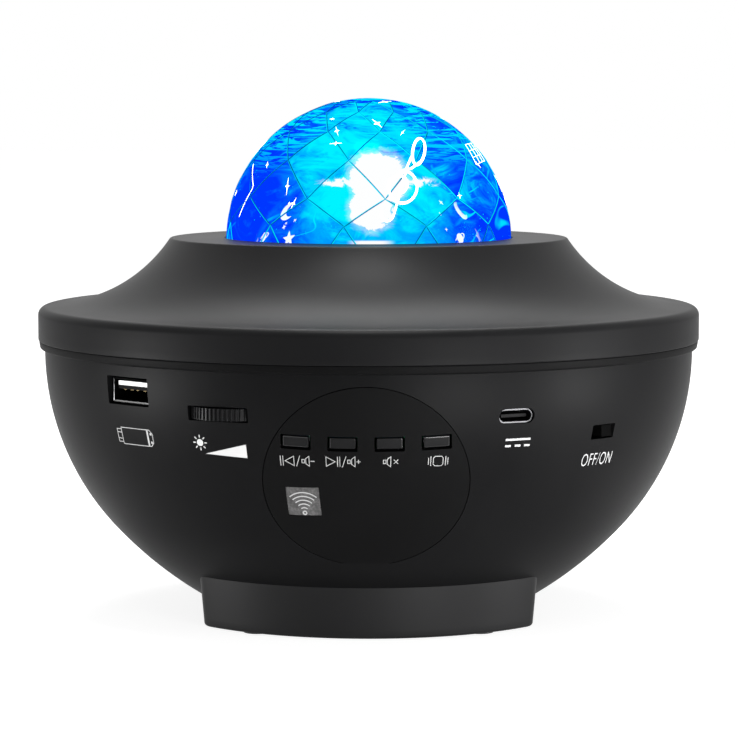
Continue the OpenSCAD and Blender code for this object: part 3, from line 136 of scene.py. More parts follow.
BOWL_C1 = (BOWL_R - BOWL_R1, BOWL_ARC_TOP)
BOWL_C2 = (BOWL_C1[0] + (BOWL_R1 - BOWL_R2) * math.cos(BOWL_TURN),
           BOWL_C1[1] - (BOWL_R1 - BOWL_R2) * math.sin(BOWL_TURN))
FLARE_CZ = SEAM_Z + FLANGE_WALL_H + FLANGE_ROUND + FLARE_R
FLARE_CR = PLATE_R + math.sqrt(FLARE_R ** 2 - (FLARE_CZ - PLATE_Z) ** 2)
DOME_Z = DOME_TOP - DOME_R
PATTERN_Z = PATTERN_TOP - PATTERN_R


def bowl_at(z, grow=0):
    """Radius of the bowl's outer surface, grown along its normal, at height z."""
    if z > BOWL_C1[1]:
        return BOWL_R + grow
    if z > BOWL_C1[1] - (BOWL_R1 + grow) * math.sin(BOWL_TURN):
        return BOWL_C1[0] + math.sqrt((BOWL_R1 + grow) ** 2 - (BOWL_C1[1] - z) ** 2)
    return BOWL_C2[0] + math.sqrt((BOWL_R2 + grow) ** 2 - (BOWL_C2[1] - z) ** 2)


def bowl_height(r):
    """Height of the bowl's lower arc at radius r."""
    return BOWL_C2[1] - math.sqrt(BOWL_R2 ** 2 - (r - BOWL_C2[0]) ** 2)


IR_AZ = PANEL_AZ - math.degrees(math.asin(IR_OFFSET / bowl_at(IR_Z)))

# ------------------------------------------------------------------ mesh helpers

def arc(centre, r, start, end, steps):
    """Points of an arc in a plane; angles in degrees."""
    angles = [math.radians(start + (end - start) * i / steps) for i in range(steps + 1)]
    return [(centre[0] + r * math.cos(a), centre[1] + r * math.sin(a)) for a in angles]


def new_object(name, data):
    obj = bpy.data.objects.new(name, data)
    bpy.context.scene.collection.objects.link(obj)
    return obj


def rework(mesh, *steps, sources=()):
    """Runs steps on a mesh in its edit form, after other meshes have joined it."""
    bm = bmesh.new()
    for source in (mesh, *sources):
        bm.from_mesh(source)
    for step in steps:
        step(bm)
    bm.to_mesh(mesh)
    bm.free()


def face_outwards(bm):
    bmesh.ops.recalc_face_normals(bm, faces=bm.faces)


def weld(bm):
    """Merges points that coincide."""
    bmesh.ops.remove_doubles(bm, verts=bm.verts, dist=1e-6)


def drop_slivers(bm):
    """Takes away faces and edges without size."""
    bmesh.ops.dissolve_degenerate(bm, edges=bm.edges, dist=1e-6)


def build(name, points, faces):
    """A new object from points in millimetres, with its faces turned outwards."""
    mesh = bpy.data.meshes.new(name)
    mesh.from_pydata([tuple(c * MM for c in p) for p in points], [], faces)
    rework(mesh, face_outwards)
    return new_object(name, mesh)


def lathe(name, loop, segments=SEGMENTS, closed=True):
    """A surface of revolution about Z, from a loop or an open line of (radius, height)."""
    points, rows = [], []
    for r, z in loop:
        if r < 1e-6:
            rows.append([len(points)] * segments)
            points.append((0, 0, z))
        else:
            rows.append(list(range(len(points), len(points) + segments)))
            points += [(x, y, z) for x, y in circle(r, segments)]
    faces = []
    for k, row in enumerate(rows if closed else rows[:-1]):
        after = rows[(k + 1) % len(rows)]
        for i in range(segments):
            j = (i + 1) % segments
            corners = list(dict.fromkeys((row[i], row[j], after[j], after[i])))
            if len(corners) > 2:
                faces.append(corners)
    return build(name, points, faces)


def place(az, r, z):
    """A frame on the housing: X to the right, Y inwards, Z up, at an angle from the front."""
    return Matrix.Rotation(math.radians(az), 4, "Z") @ Matrix.Translation((0, -r, z))


def tilted(matrix, degrees):
    return matrix @ Matrix.Rotation(math.radians(degrees), 4, "X")


def prism(name, outline, y0, y1, matrix):
    """A prism along a frame's Y from an outline of (x, z)."""
    n = len(outline)
    points = [matrix @ Vector((x, y, z)) for y in (y0, y1) for x, z in outline]
    faces = [list(range(n)), list(range(n, 2 * n))]
    faces += [[i, (i + 1) % n, n + (i + 1) % n, n + i] for i in range(n)]
    return build(name, points, faces)


def rounded(w, h, r, steps=4):
    """Outline of a rectangle with round corners."""
    corners = [(w / 2 - r, h / 2 - r, 0), (r - w / 2, h / 2 - r, 90),
               (r - w / 2, r - h / 2, 180), (w / 2 - r, r - h / 2, 270)]
    return [p for x, z, a in corners for p in arc((x, z), r, a, a + 90, steps)]


def circle(r, steps=96):
    turns = [2 * math.pi * i / steps for i in range(steps)]
    return [(r * math.cos(a), r * math.sin(a)) for a in turns]


def join(objects):
    """Joins objects into the first one."""
    first, *others = objects
    rework(first.data, sources=[obj.data for obj in others])
    for obj in others:
        bpy.data.objects.remove(obj)
    return first


def shown_mesh(obj):
    """A new mesh of what an object shows, with its modifiers."""
    graph = bpy.context.evaluated_depsgraph_get()
    return bpy.data.meshes.new_from_object(obj.evaluated_get(graph))


def applied(obj):
    """Puts an object's modifiers into its mesh."""
    mesh = shown_mesh(obj)
    obj.modifiers.clear()
    obj.data = mesh
    return obj


def combine(obj, tool, how):
    """A boolean of two solids; the tool is used up."""
    step = obj.modifiers.new(how, "BOOLEAN")
    step.operation, step.object, step.solver = how, tool, "EXACT"
    applied(obj)
    bpy.data.objects.remove(tool)
    return obj


def bevelled(obj, width, segments, angle):
    """Rounds the edges at which faces meet at more than an angle."""
    step = obj.modifiers.new("edges", "BEVEL")
    step.width, step.segments, step.angle_limit = width * MM, segments, math.radians(angle)
    step.harden_normals = False
    return applied(obj)


def smooth(obj, angle=30):
    obj.data.shade_smooth()
    obj.data.set_sharp_from_angle(angle=math.radians(angle))
    return obj


SOFT_BEND = 20                  # degrees up to which a corner of a line counts as round
ON_LINE = 0.03                  # distance within which a point lies on the line
FACING = 14                     # degrees between a face and the exact normal that it may take


def line_normals(p):
    """Normals at the start and the end of each stretch of a line, shared where it bends gently."""
    seg = p[1:] - p[:-1]
    normal = np.stack([-seg[:, 1], seg[:, 0]], 1)
    normal /= np.linalg.norm(normal, axis=1)[:, None]
    first, last = normal.copy(), normal.copy()
    soft = (normal[1:] * normal[:-1]).sum(1) > math.cos(math.radians(SOFT_BEND))
    mean = normal[1:] + normal[:-1]
    mean /= np.linalg.norm(mean, axis=1)[:, None]
    first[1:][soft], last[:-1][soft] = mean[soft], mean[soft]
    return first, last


def read_all(items, key, width, kind=float):
    """A property of all of a mesh's vertices, corners or faces."""
    found = np.empty(len(items) * width, kind)
    items.foreach_get(key, found)
    return found.reshape(-1, width) if width > 1 else found


def true_normals(obj, profile):
    """Gives the faces on a surface of revolution its exact normals, whatever was cut out of it."""
    mesh = obj.data
    p = np.array(profile) * MM
    seg = p[1:] - p[:-1]
    first, last = line_normals(p)
    co = read_all(mesh.vertices, "co", 3)
    radius = np.hypot(co[:, 0], co[:, 1])
    flat = np.stack([radius, co[:, 2]], 1)
    t = np.clip(((flat[:, None] - p[:-1]) * seg).sum(2) / (seg ** 2).sum(1), 0, 1)
    away = np.linalg.norm(flat[:, None] - p[:-1] - t[:, :, None] * seg, axis=2)
    best = away.argmin(1)
    near = away.min(1) < ON_LINE * MM
    t = t[np.arange(len(co)), best][:, None]
    mixed = first[best] * (1 - t) + last[best] * t
    mixed /= np.linalg.norm(mixed, axis=1)[:, None]
    unit = co[:, :2] / np.maximum(radius, 1e-9)[:, None]
    exact = np.stack([mixed[:, 0] * unit[:, 0], mixed[:, 0] * unit[:, 1], mixed[:, 1]], 1)
    corner = read_all(mesh.corner_normals, "vector", 3)
    vertex = read_all(mesh.loops, "vertex_index", 1, int)
    count = read_all(mesh.polygons, "loop_total", 1, int)
    face = np.repeat(read_all(mesh.polygons, "normal", 3), count, 0)
    wanted = exact[vertex]
    use = near[vertex] & ((wanted * face).sum(1) > math.cos(math.radians(FACING)))
    corner[use] = wanted[use]
    mesh.normals_split_custom_set(corner.tolist())


def clean_up(obj, profile):
    """Tidies a surface of revolution that was cut, and gives it its exact normals."""
    rework(obj.data, weld, drop_slivers)
    smooth(obj)
    true_normals(obj, profile)


look = {}                       # the materials, by name


def dress(obj, names):
    """Gives an object the materials that a text names."""
    obj.data.materials.clear()
    for name in names.split():
        obj.data.materials.append(look[name])


def paint(obj, pick):
    """Gives each face one of the object's materials, by its number."""
    for face in obj.data.polygons:
        face.material_index = int(pick(face))


def finish_piece(obj, materials, body="housing", replaces=()):
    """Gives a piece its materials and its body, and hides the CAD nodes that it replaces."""
    dress(obj, materials)
    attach(obj, body)
    if replaces:
        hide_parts(*replaces)
    return obj


# ------------------------------------------------------------------ shader helpers

def add(tree, kind, settings=None, **inputs):
    """Adds a node. An input is a value, a socket or a node, whose first output it takes; i0, i1 ...
    name it by number."""
    new = tree.nodes.new(kind)
    for key, value in (settings or {}).items():
        setattr(new, key, value)
    for key, value in inputs.items():
        numbered = key[0] == "i" and key[1:].isdigit()
        socket = new.inputs[int(key[1:])] if numbered else new.inputs[key.replace("_", " ")]
        if isinstance(value, bpy.types.Node):
            value = value.outputs[0]
        if isinstance(value, bpy.types.NodeSocket):
            tree.links.new(value, socket)
        else:
            socket.default_value = value
    return new


def maths(tree, operation, *values):
    inputs = {f"i{k}": v for k, v in enumerate(values)}
    return add(tree, "ShaderNodeMath", {"operation": operation}, **inputs)


def times(tree, a, b, *plus):
    """a times b, and plus a third value where there is one."""
    return maths(tree, "MULTIPLY_ADD" if plus else "MULTIPLY", a, b, *plus)


def most(tree, first, *others):
    """The greatest of some values."""
    for other in others:
        first = maths(tree, "MAXIMUM", first, other)
    return first


def blend(tree, part, first, second):
    """A mix of two shaders, with a part of the second."""
    return add(tree, "ShaderNodeMixShader", Fac=part, i1=first, i2=second)


def vector_maths(tree, operation, *values, output="Vector"):
    inputs = {f"i{k}": v for k, v in enumerate(values)}
    return add(tree, "ShaderNodeVectorMath", {"operation": operation}, **inputs).outputs[output]


def step_up(tree, value, low, high):
    """0 below low, 1 above high."""
    return add(tree, "ShaderNodeMapRange", {"interpolation_type": "SMOOTHSTEP"}, Value=value,
               From_Min=low, From_Max=high)


def position(tree):
    """The point that is shaded."""
    return add(tree, "ShaderNodeTexCoord").outputs["Object"]


def height_of(tree, vector):
    return add(tree, "ShaderNodeSeparateXYZ", i0=vector).outputs["Z"]


def ramp(tree, value, stops):
    """A colour ramp; stops are (position, colour or grey)."""
    new = add(tree, "ShaderNodeValToRGB", Fac=value)
    elements = new.color_ramp.elements
    while len(elements) < len(stops):
        elements.new(0.5)
    for element, (position, colour) in zip(elements, stops):
        element.position = position
        grey = isinstance(colour, (int, float))
        element.color = (colour, colour, colour, 1) if grey else (*colour, 1)
    return new


def noise(tree, scale, detail=2, rough=0.5, vector=None, **more):
    inputs = dict(Scale=scale, Detail=detail, Roughness=rough, **more)
    if vector is None:
        vector = position(tree)
    return add(tree, "ShaderNodeTexNoise", Vector=vector, **inputs).outputs["Fac"]


SPREAD = 0.06                   # how far a surface's roughness varies, each way


def blank(name):
    """The empty tree of a new material."""
    look[name] = bpy.data.materials.new(name)
    look[name].use_nodes = True
    tree = look[name].node_tree
    tree.nodes.clear()
    return tree


def show(tree, shader, kind="ShaderNodeOutputMaterial"):
    """Ends a tree with an output node."""
    add(tree, kind, i0=shader)


def surface(name, dark, light, rough, grain, depth=0.02, metallic=0, specular=0.5):
    """A surface whose colour, roughness and grain vary, from two colours.
    grain is the size of its bumps and depth their height, in millimetres."""
    tree = blank(name)
    broad = noise(tree, 60, 3)
    fine = noise(tree, 1 / (grain * MM), 2, 0.6)
    mixed = times(tree, fine, 0.5, times(tree, broad, 0.5))
    colour = ramp(tree, mixed, [(0.3, dark), (0.7, light)])
    roughness = add(tree, "ShaderNodeMapRange", Value=mixed, To_Min=rough - SPREAD, To_Max=rough + SPREAD)
    bump = add(tree, "ShaderNodeBump", Height=fine, Distance=depth * MM, Strength=0.5)
    shader = add(tree, "ShaderNodeBsdfPrincipled", Base_Color=colour, Roughness=roughness,
                 Normal=bump, Metallic=metallic, Specular_IOR_Level=specular)
    show(tree, shader)


def fade_gloss(tree, below, above, low, high):
    """Lets a surface's reflections grow from one level to another between two heights."""
    gloss = add(tree, "ShaderNodeMapRange", Value=height_of(tree, position(tree)), From_Min=low * MM,
                From_Max=high * MM, To_Min=below, To_Max=above)
    shader = next(node for node in tree.nodes if node.type == "BSDF_PRINCIPLED")
    tree.links.new(gloss.outputs[0], shader.inputs["Specular IOR Level"])


def painted_shade_below(name, height, below, above):
    """Plastic whose upper part keeps its own colour, as it catches the light, while the part below a height
    is painted dark as painted shade.
    """
    tree = blank(name)
    level = times(tree, height_of(tree, position(tree)), 1 / MM, 0.5 - height)
    level = times(tree, noise(tree, 2500, 2), 0.1, level)
    colour = ramp(tree, level, [(0.45, below), (0.65, above)])
    shader = add(tree, "ShaderNodeBsdfPrincipled", Base_Color=colour, Roughness=0.5, Specular_IOR_Level=0.02)
    show(tree, shader)


# ------------------------------------------------------------------ camera, floor, world and lamps

IMAGE = 739
FOCAL_PX = 3000                 # focal length in pixels of the 739-pixel frame
CAMERA = (0.23, -765.1, SEAM_Z + 62.12)
PITCH = 5.27

camera = new_object("camera", bpy.data.cameras.new("camera"))
camera.data.sensor_width = 36
camera.data.lens = 36 * FOCAL_PX / IMAGE
camera.data.clip_start, camera.data.clip_end = 0.01, 100
camera.location = [c * MM for c in CAMERA]
camera.rotation_euler = (math.radians(90 - PITCH), 0, 0)
bpy.context.scene.camera = camera


def seen_directly(tree):
    """1 for rays that show the background: camera, glossy and transmission rays."""
    path = add(tree, "ShaderNodeLightPath")
    return most(tree, *[path.outputs[f"Is {ray} Ray"] for ray in ("Camera", "Glossy", "Transmission")])


def make_floor():
    """A plain pale floor that shows as white but keeps the object's shadow."""
    half = 6000
    corners = [(-half, -half, 0), (half, -half, 0), (half, half, 0), (-half, half, 0)]
    floor = build("floor", corners, [(0, 1, 2, 3)])
    if floor.data.polygons[0].normal.z < 0:
        floor.data.flip_normals()
    tree = blank("floor")
    soft = noise(tree, 4, 2)
    pale = ramp(tree, soft, [(0.3, 0.78), (0.7, 0.82)])
    plain = add(tree, "ShaderNodeBsdfDiffuse", Color=pale)
    shaded = add(tree, "ShaderNodeBsdfDiffuse", Color=(0.5, 0.5, 0.5, 1))
    glow = add(tree, "ShaderNodeEmission", Color=(1, 1, 1, 1), Strength=0.83)
    white = add(tree, "ShaderNodeAddShader", i0=shaded, i1=glow)
    mix = blend(tree, seen_directly(tree), plain, white)
    show(tree, mix)
    dress(floor, "floor")


def make_world():
    world = bpy.data.worlds.new("studio")
    world.use_nodes = True
    tree = world.node_tree
    tree.nodes.clear()
    ambient = add(tree, "ShaderNodeBackground", Color=(1, 1, 1, 1), Strength=0.35)
    white = add(tree, "ShaderNodeBackground", Color=(1, 1, 1, 1), Strength=1)
    mix = blend(tree, seen_directly(tree), ambient, white)
    show(tree, mix, "ShaderNodeOutputWorld")
    bpy.context.scene.world = world


def lamp(name, az, distance, height, size, watts, aim_z=60):
    """A soft rectangular lamp at an angle from the front, aimed at a height on the object's axis."""
    data = bpy.data.lights.new(name, "AREA")
    data.shape, data.size, data.size_y, data.energy = "RECTANGLE", size[0] * MM, size[1] * MM, watts
    obj = new_object(name, data)
    obj.location = place(az, distance, height).translation * MM
    away = Vector((0, 0, aim_z)) * MM - obj.location
    obj.rotation_euler = away.to_track_quat("-Z", "Y").to_euler()


make_floor()
make_world()
lamp("lamp_left", -72, 330, 14, (90, 16), 1.05)
lamp("lamp_right", 66, 330, 14, (90, 16), 1.05)
lamp("lamp_side", 84, 750, 120, (160, 200), 0.8)
lamp("lamp_low", 26, 300, 12, (110, 16), 0.8, 8)
lamp("lamp_front", -2, 150, 850, (200, 200), 6.5, 90)
lamp("lamp_top", 180, 600, 900, (500, 400), 5.5, 90)
bpy.context.scene.view_settings.view_transform = "Standard"

# ------------------------------------------------------------------ plain materials

BLACK, SOFT_BLACK = (0.0045, 0.0045, 0.0047), (0.0062, 0.0062, 0.0065)
# dark and light colour, roughness, size and depth of the grain in millimetres, metal, gloss
PLAIN = {
    "upper_plastic": (BLACK, SOFT_BLACK, 0.46, 0.25, 0.03, 0, 0.095),
    "foot_plastic": (BLACK, SOFT_BLACK, 0.46, 0.25, 0.03, 0, 0.095),
    # shell_plastic: the upper shell's plastic made darker and less glossy, as painted shade on the
    # downward-facing bowl
    "shell_plastic": ((0.0028, 0.0028, 0.003), (0.0042, 0.0042, 0.0044), 0.45, 0.25, 0.03, 0, 0.029),
    # lip_plastic: the shell plastic made darker and less glossy, as painted shade on the lip under the flange
    "lip_plastic": ((0.0024, 0.0024, 0.0025), (0.0034, 0.0034, 0.0035), 0.5, 0.25, 0.03, 0, 0.019),
    "panel_plastic": ((0.0022, 0.0022, 0.0023), (0.0034, 0.0034, 0.0035), 0.6, 0.2, 0.01, 0, 0.028),
    "button_plastic": ((0.0045, 0.0045, 0.0048), (0.0065, 0.0065, 0.0068), 0.3, 0.2, 0.006, 0, 0.07),
    # button_edge: a lighter, glossier copy of the button plastic, a painted highlight on the buttons' rounded
    # edges
    "button_edge": ((0.006, 0.006, 0.0063), (0.009, 0.009, 0.0094), 0.25, 0.2, 0.004, 0, 0.6),
    "black_plastic": ((0.0022, 0.0022, 0.0022), (0.0045, 0.0045, 0.0045), 0.45, 0.3, 0.01, 0, 0.06),
    "dial_plastic": ((0.005, 0.005, 0.0053), (0.01, 0.01, 0.0105), 0.4, 0.2, 0.008, 0, 0.06),
    # slot_black: near-black for the power switch's slider and case, and painted shade inside the USB-A shell
    "slot_black": ((0.0012, 0.0012, 0.0012), (0.0022, 0.0022, 0.0022), 0.6, 0.3, 0.01, 0, 0.004),
    "white_plastic": ((0.78, 0.78, 0.76), (0.86, 0.86, 0.85), 0.4, 0.3, 0.01),
    "gear_plastic": ((0.78, 0.76, 0.66), (0.86, 0.85, 0.77), 0.38, 0.3, 0.01),
    "pad_rubber": ((0.012, 0.012, 0.012), (0.02, 0.02, 0.02), 0.8, 0.4, 0.04, 0, 0.3),
    "gasket_foam": ((0.02, 0.02, 0.02), (0.05, 0.05, 0.05), 0.95, 0.5, 0.15),
    "cone_paper": ((0.02, 0.02, 0.022), (0.05, 0.05, 0.053), 0.85, 0.6, 0.06, 0, 0.2),
    "port_steel": ((0.34, 0.34, 0.35), (0.46, 0.46, 0.47), 0.28, 0.15, 0.004, 1),
    # rim_steel: steel made almost black, painted shade on the USB-A shell's lower rim
    "rim_steel": ((0.012, 0.012, 0.012), (0.02, 0.02, 0.02), 0.3, 0.15, 0.004, 1),
    # inlet_steel_shaded: the USB-C shell's steel made far darker than steel, as painted shade in the port
    "inlet_steel_shaded": ((0.09, 0.09, 0.095), (0.14, 0.14, 0.145), 0.3, 0.15, 0.004, 1),
    "screw_steel": ((0.5, 0.5, 0.52), (0.64, 0.64, 0.66), 0.35, 0.2, 0.01, 1),
    "can_steel": ((0.48, 0.5, 0.52), (0.6, 0.61, 0.63), 0.4, 0.3, 0.01, 1),
    "magnet_steel": ((0.08, 0.08, 0.09), (0.14, 0.14, 0.15), 0.5, 0.3, 0.02, 0.8),
    "sink_aluminium": ((0.62, 0.63, 0.65), (0.78, 0.79, 0.8), 0.38, 0.25, 0.02, 1),
    # contact_brass: brass made almost black, as painted shade deep in the USB-A port
    "contact_brass": ((0.02, 0.014, 0.006), (0.03, 0.022, 0.01), 0.3, 0.2, 0.004, 1),
    "board_green": ((0.01, 0.12, 0.05), (0.03, 0.24, 0.1), 0.35, 1.2, 0.02),
    "board_white": ((0.76, 0.76, 0.76), (0.86, 0.86, 0.86), 0.35, 0.8, 0.01),
    "chip_black": ((0.012, 0.012, 0.013), (0.03, 0.03, 0.032), 0.55, 0.2),
    "lead_red": ((0.36, 0.02, 0.02), (0.5, 0.035, 0.03), 0.45, 0.3, 0.01),
    "lead_blue": ((0.02, 0.035, 0.36), (0.035, 0.06, 0.48), 0.45, 0.3, 0.01),
    "print_white": ((0.41, 0.41, 0.41), (0.47, 0.47, 0.47), 0.5, 0.15, 0.004, 0, 0.3),
    "print_grey": ((0.29, 0.29, 0.29), (0.35, 0.35, 0.35), 0.5, 0.15, 0.004, 0, 0.3),
}
for plain_name, row in PLAIN.items():
    surface(plain_name, *row)
WALL_TOP = SEAM_Z + FLANGE_WALL_H
fade_gloss(look["upper_plastic"].node_tree, 0.03, 0.095, WALL_TOP + 0.4, WALL_TOP + 2.6)
# The USB-A tongue: white plastic above a height, and painted shade below it, where the port lies in the dark.
painted_shade_below("tongue_painted_shade", USB_A_Z + 1.1, (0.0015, 0.0015, 0.0015), (0.8, 0.8, 0.79))

# ------------------------------------------------------------------ light: the colours of the dome

LED_AZ = (4, 124, 244)
STRIP = (PLATE_Z - DOME_Z) / DOME_R + 0.016     # top of the white strip, as a part of the dome's radius


def direction(az, el):
    a, e = math.radians(az), math.radians(el)
    return (math.sin(a) * math.cos(e), -math.cos(a) * math.cos(e), math.sin(e))


def dome_vector(tree, centre_z):
    """Unit direction from a dome's middle to the point that is shaded."""
    away = vector_maths(tree, "SUBTRACT", position(tree), (0, 0, centre_z * MM))
    return vector_maths(tree, "NORMALIZE", away)


def closeness(tree, vector, places, inner, outer):
    """1 within the angle inner of any place, falling to 0 at outer."""
    low, high = math.cos(math.radians(outer)), math.cos(math.radians(inner))
    dots = [vector_maths(tree, "DOT_PRODUCT", vector, direction(*p), output="Value") for p in places]
    return most(tree, *[step_up(tree, dot, low, high) for dot in dots])


DEEP = (0.0, 0.030, 1.0)
MID = (0.0, 0.16, 1.0)
CYAN = (0.0, 0.62, 1.0)
PALE = (0.0, 0.95, 1.0)


def offset(tree, vector, amount):
    """A vector moved by a number or by a constant, so that a noise gives another pattern."""
    if isinstance(amount, bpy.types.Node):
        amount = add(tree, "ShaderNodeCombineXYZ", i0=amount, i1=amount, i2=amount)
    return vector_maths(tree, "ADD", vector, amount)


def stretched(tree, vector, scale):
    return add(tree, "ShaderNodeMapping", Vector=vector, Scale=scale)


def dome_streaks(tree, vector, height):
    """Fine streaks that run round the dome, most of them near its top."""
    wavy = noise(tree, 1.5, 6, 0.66, stretched(tree, vector, (1.7, 1.7, 24)), Distortion=1.6)
    return times(tree, step_up(tree, wavy, 0.47, 0.54), step_up(tree, height, 0.40, 0.80))


def dome_threads(tree, vector):
    """Thin curved lines of light."""
    wavy = noise(tree, 1.3, 1, 0.5, stretched(tree, vector, (1, 1, 1.7)), Distortion=0.8)
    ridge = maths(tree, "ABSOLUTE", maths(tree, "SUBTRACT", wavy, 0.5))
    few = step_up(tree, noise(tree, 2.1, 2, 0.5, offset(tree, vector, (7.7, 2.2, 4.1))), 0.50, 0.62)
    return times(tree, step_up(tree, ridge, 0.010, 0.002), few)


def dome_bubble_glints(tree, vector):
    """Small bubbles in the plastic, drawn as painted glints of light."""
    cells = add(tree, "ShaderNodeTexVoronoi", Vector=vector, Scale=30)
    few = step_up(tree, noise(tree, 9, 1, 0.5, vector), 0.52, 0.6)
    near = maths(tree, "LESS_THAN", cells.outputs["Distance"], 0.13)
    return times(tree, near, few)


def spots(*places):
    """The same places for each LED: azimuth from the LED's own, and elevation."""
    return [(led + az, el) for led in LED_AZ for az, el in places]


def dome_bloom(tree, vector, height):
    """Where the light is white: a ragged bloom over each LED and a strip at the foot of the dome."""
    ragged = noise(tree, 6.5, 7, 0.74, stretched(tree, vector, (1, 1, 1.6)), Distortion=1.6)
    body = closeness(tree, vector, spots((0.5, 28.5)), 2, 18)
    body = most(tree, body, closeness(tree, vector, spots((-3, 15)), 1, 13.5))
    uneven = times(tree, ragged, 0.16, maths(tree, "SUBTRACT", height, 0.515))
    arm = step_up(tree, maths(tree, "ABSOLUTE", uneven), 0.05, 0.0)
    arm = times(tree, arm, closeness(tree, vector, spots((0.5, 27)), 15, 31))
    body = most(tree, body, arm)
    total = times(tree, ragged, 1.1, body)
    bloom = step_up(tree, total, 1.20, 1.27)
    halo = times(tree, step_up(tree, total, 0.85, 1.3), 0.4)
    bloom = most(tree, bloom, halo)
    strip = times(tree, step_up(tree, height, STRIP + 0.012, STRIP),
                  closeness(tree, vector, spots((-3, 0)), 4, 10))
    return most(tree, bloom, strip)


def dome_cover_material():
    """Clear plastic full of blue and cyan light, with white over the LEDs; the figures shine through it."""
    tree = blank("dome_plastic")
    vector = dome_vector(tree, DOME_Z)
    height = height_of(tree, vector)
    facet = add(tree, "ShaderNodeAttribute", {"attribute_name": "facet"}).outputs["Fac"]
    turned = offset(tree, vector, times(tree, facet, 9))
    brush = noise(tree, 2.6, 7, 0.6, stretched(tree, turned, (1, 1, 1.7)), Distortion=2.2)
    near = closeness(tree, vector, spots((-2, 36)), 10, 50)
    level = times(tree, near, 0.30, times(tree, brush, 0.9))
    level = times(tree, facet, 0.25, level)
    cyan = ramp(tree, level, [(0.54, 0.03), (0.65, 0.09), (0.73, 0.2), (0.82, 0.55), (0.96, 0.88)])
    cyan = most(tree, cyan, times(tree, dome_streaks(tree, vector, height), 0.8),
                times(tree, dome_threads(tree, turned), 0.75), times(tree, dome_bubble_glints(tree, vector), 0.7))
    colour = add(tree, "ShaderNodeCombineColor", i0=0.0, i1=cyan, i2=1.0)
    hot = dome_bloom(tree, vector, height)
    white = add(tree, "ShaderNodeMix", {"data_type": "RGBA"}, i0=hot, i6=colour, i7=(1, 1, 1, 1)).outputs[2]
    glow = add(tree, "ShaderNodeEmission", Color=white, Strength=1)
    clear = add(tree, "ShaderNodeBsdfTransparent", Color=(1, 1, 1, 1))
    facing = add(tree, "ShaderNodeLayerWeight", Blend=0.5).outputs["Facing"]
    window = step_up(tree, times(tree, height, 0.45, facing), 0.43, 0.34)
    closed = most(tree, hot, add(tree, "ShaderNodeNewGeometry").outputs["Backfacing"])
    window = times(tree, window, maths(tree, "SUBTRACT", 1, closed))
    body = blend(tree, times(tree, window, 0.3), glow, clear)
    gloss = add(tree, "ShaderNodeBsdfGlossy", Color=(0.0, 0.7, 1, 1), Roughness=0.15)
    final = blend(tree, 0.012, body, gloss)
    show(tree, final)


def dome_clear_material():
    """The dome's inner face and flange: clear, with a faint sheen."""
    tree = blank("dome_clear")
    clear = add(tree, "ShaderNodeBsdfTransparent", Color=(0.97, 0.99, 1, 1))
    gloss = add(tree, "ShaderNodeBsdfGlossy", Color=(0.5, 0.8, 1, 1), Roughness=0.2)
    weight = times(tree, noise(tree, 300, 2), 0.02)
    final = blend(tree, weight, clear, gloss)
    show(tree, final)


def pattern_material():
    """The turning dome, lit blue and cyan from inside."""
    tree = blank("pattern_plastic")
    vector = dome_vector(tree, PATTERN_Z)
    broad = noise(tree, 2.0, 3, 0.5, offset(tree, vector, (3.1, 0.4, 1.2)), Distortion=1.0)
    brush = noise(tree, 4.5, 7, 0.62, offset(tree, vector, (5.3, 1.1, 0.2)), Distortion=2.6)
    near = closeness(tree, vector, spots((0, 28)), 6, 52)
    level = times(tree, near, 0.5, times(tree, broad, 0.45))
    level = times(tree, brush, 0.55, level)
    colour = ramp(tree, level, [(0.48, DEEP), (0.62, MID), (0.74, CYAN), (0.88, PALE)])
    glow = add(tree, "ShaderNodeEmission", Color=colour, Strength=1)
    show(tree, glow)


def glow_material(name, colour, strength, variation):
    """A lit line or figure, its brightness slightly uneven."""
    tree = blank(name)
    uneven = noise(tree, 140, 3)
    level = add(tree, "ShaderNodeMapRange", Value=uneven, From_Min=0.35, From_Max=0.65,
                To_Min=strength * (1 - variation), To_Max=strength * (1 + variation))
    glow = add(tree, "ShaderNodeEmission", Color=(*colour, 1), Strength=level)
    show(tree, glow)


def lens_material():
    tree = blank("lens_glass")
    scratch = noise(tree, 900, 2)
    rough = add(tree, "ShaderNodeMapRange", Value=scratch, To_Min=0.02, To_Max=0.08)
    glass = add(tree, "ShaderNodeBsdfGlass", Color=(0.85, 0.93, 1, 1), Roughness=rough, IOR=1.49)
    show(tree, glass)


def window_material():
    tree = blank("window_plastic")
    speckle = noise(tree, 1900, 4, 0.75)
    cloud = noise(tree, 420, 3, 0.6)
    mixed = maths(tree, "ADD", times(tree, speckle, 0.55), times(tree, cloud, 0.45))
    colour = ramp(tree, mixed, [(0.38, (0.02, 0.0195, 0.0195)), (0.5, (0.043, 0.042, 0.042)),
                                (0.64, (0.092, 0.09, 0.09))])
    shader = add(tree, "ShaderNodeBsdfPrincipled", Base_Color=colour, Roughness=0.35, Specular_IOR_Level=0.3)
    show(tree, shader)


dome_cover_material()
dome_clear_material()
pattern_material()
window_material()
lens_material()
# The ribs' flanks: painted light on one side, painted shade on the other.
glow_material("line_bright", (0.0, 0.85, 1.0), 0.9, 0.3)
glow_material("line_dark", (0.0, 0.09, 0.40), 1.0, 0.3)
glow_material("figure_white", (1, 1, 1), 3.3, 0.05)
glow_material("led_phosphor", (0.5, 0.8, 1.0), 1.2, 0.1)

# ------------------------------------------------------------------ housing

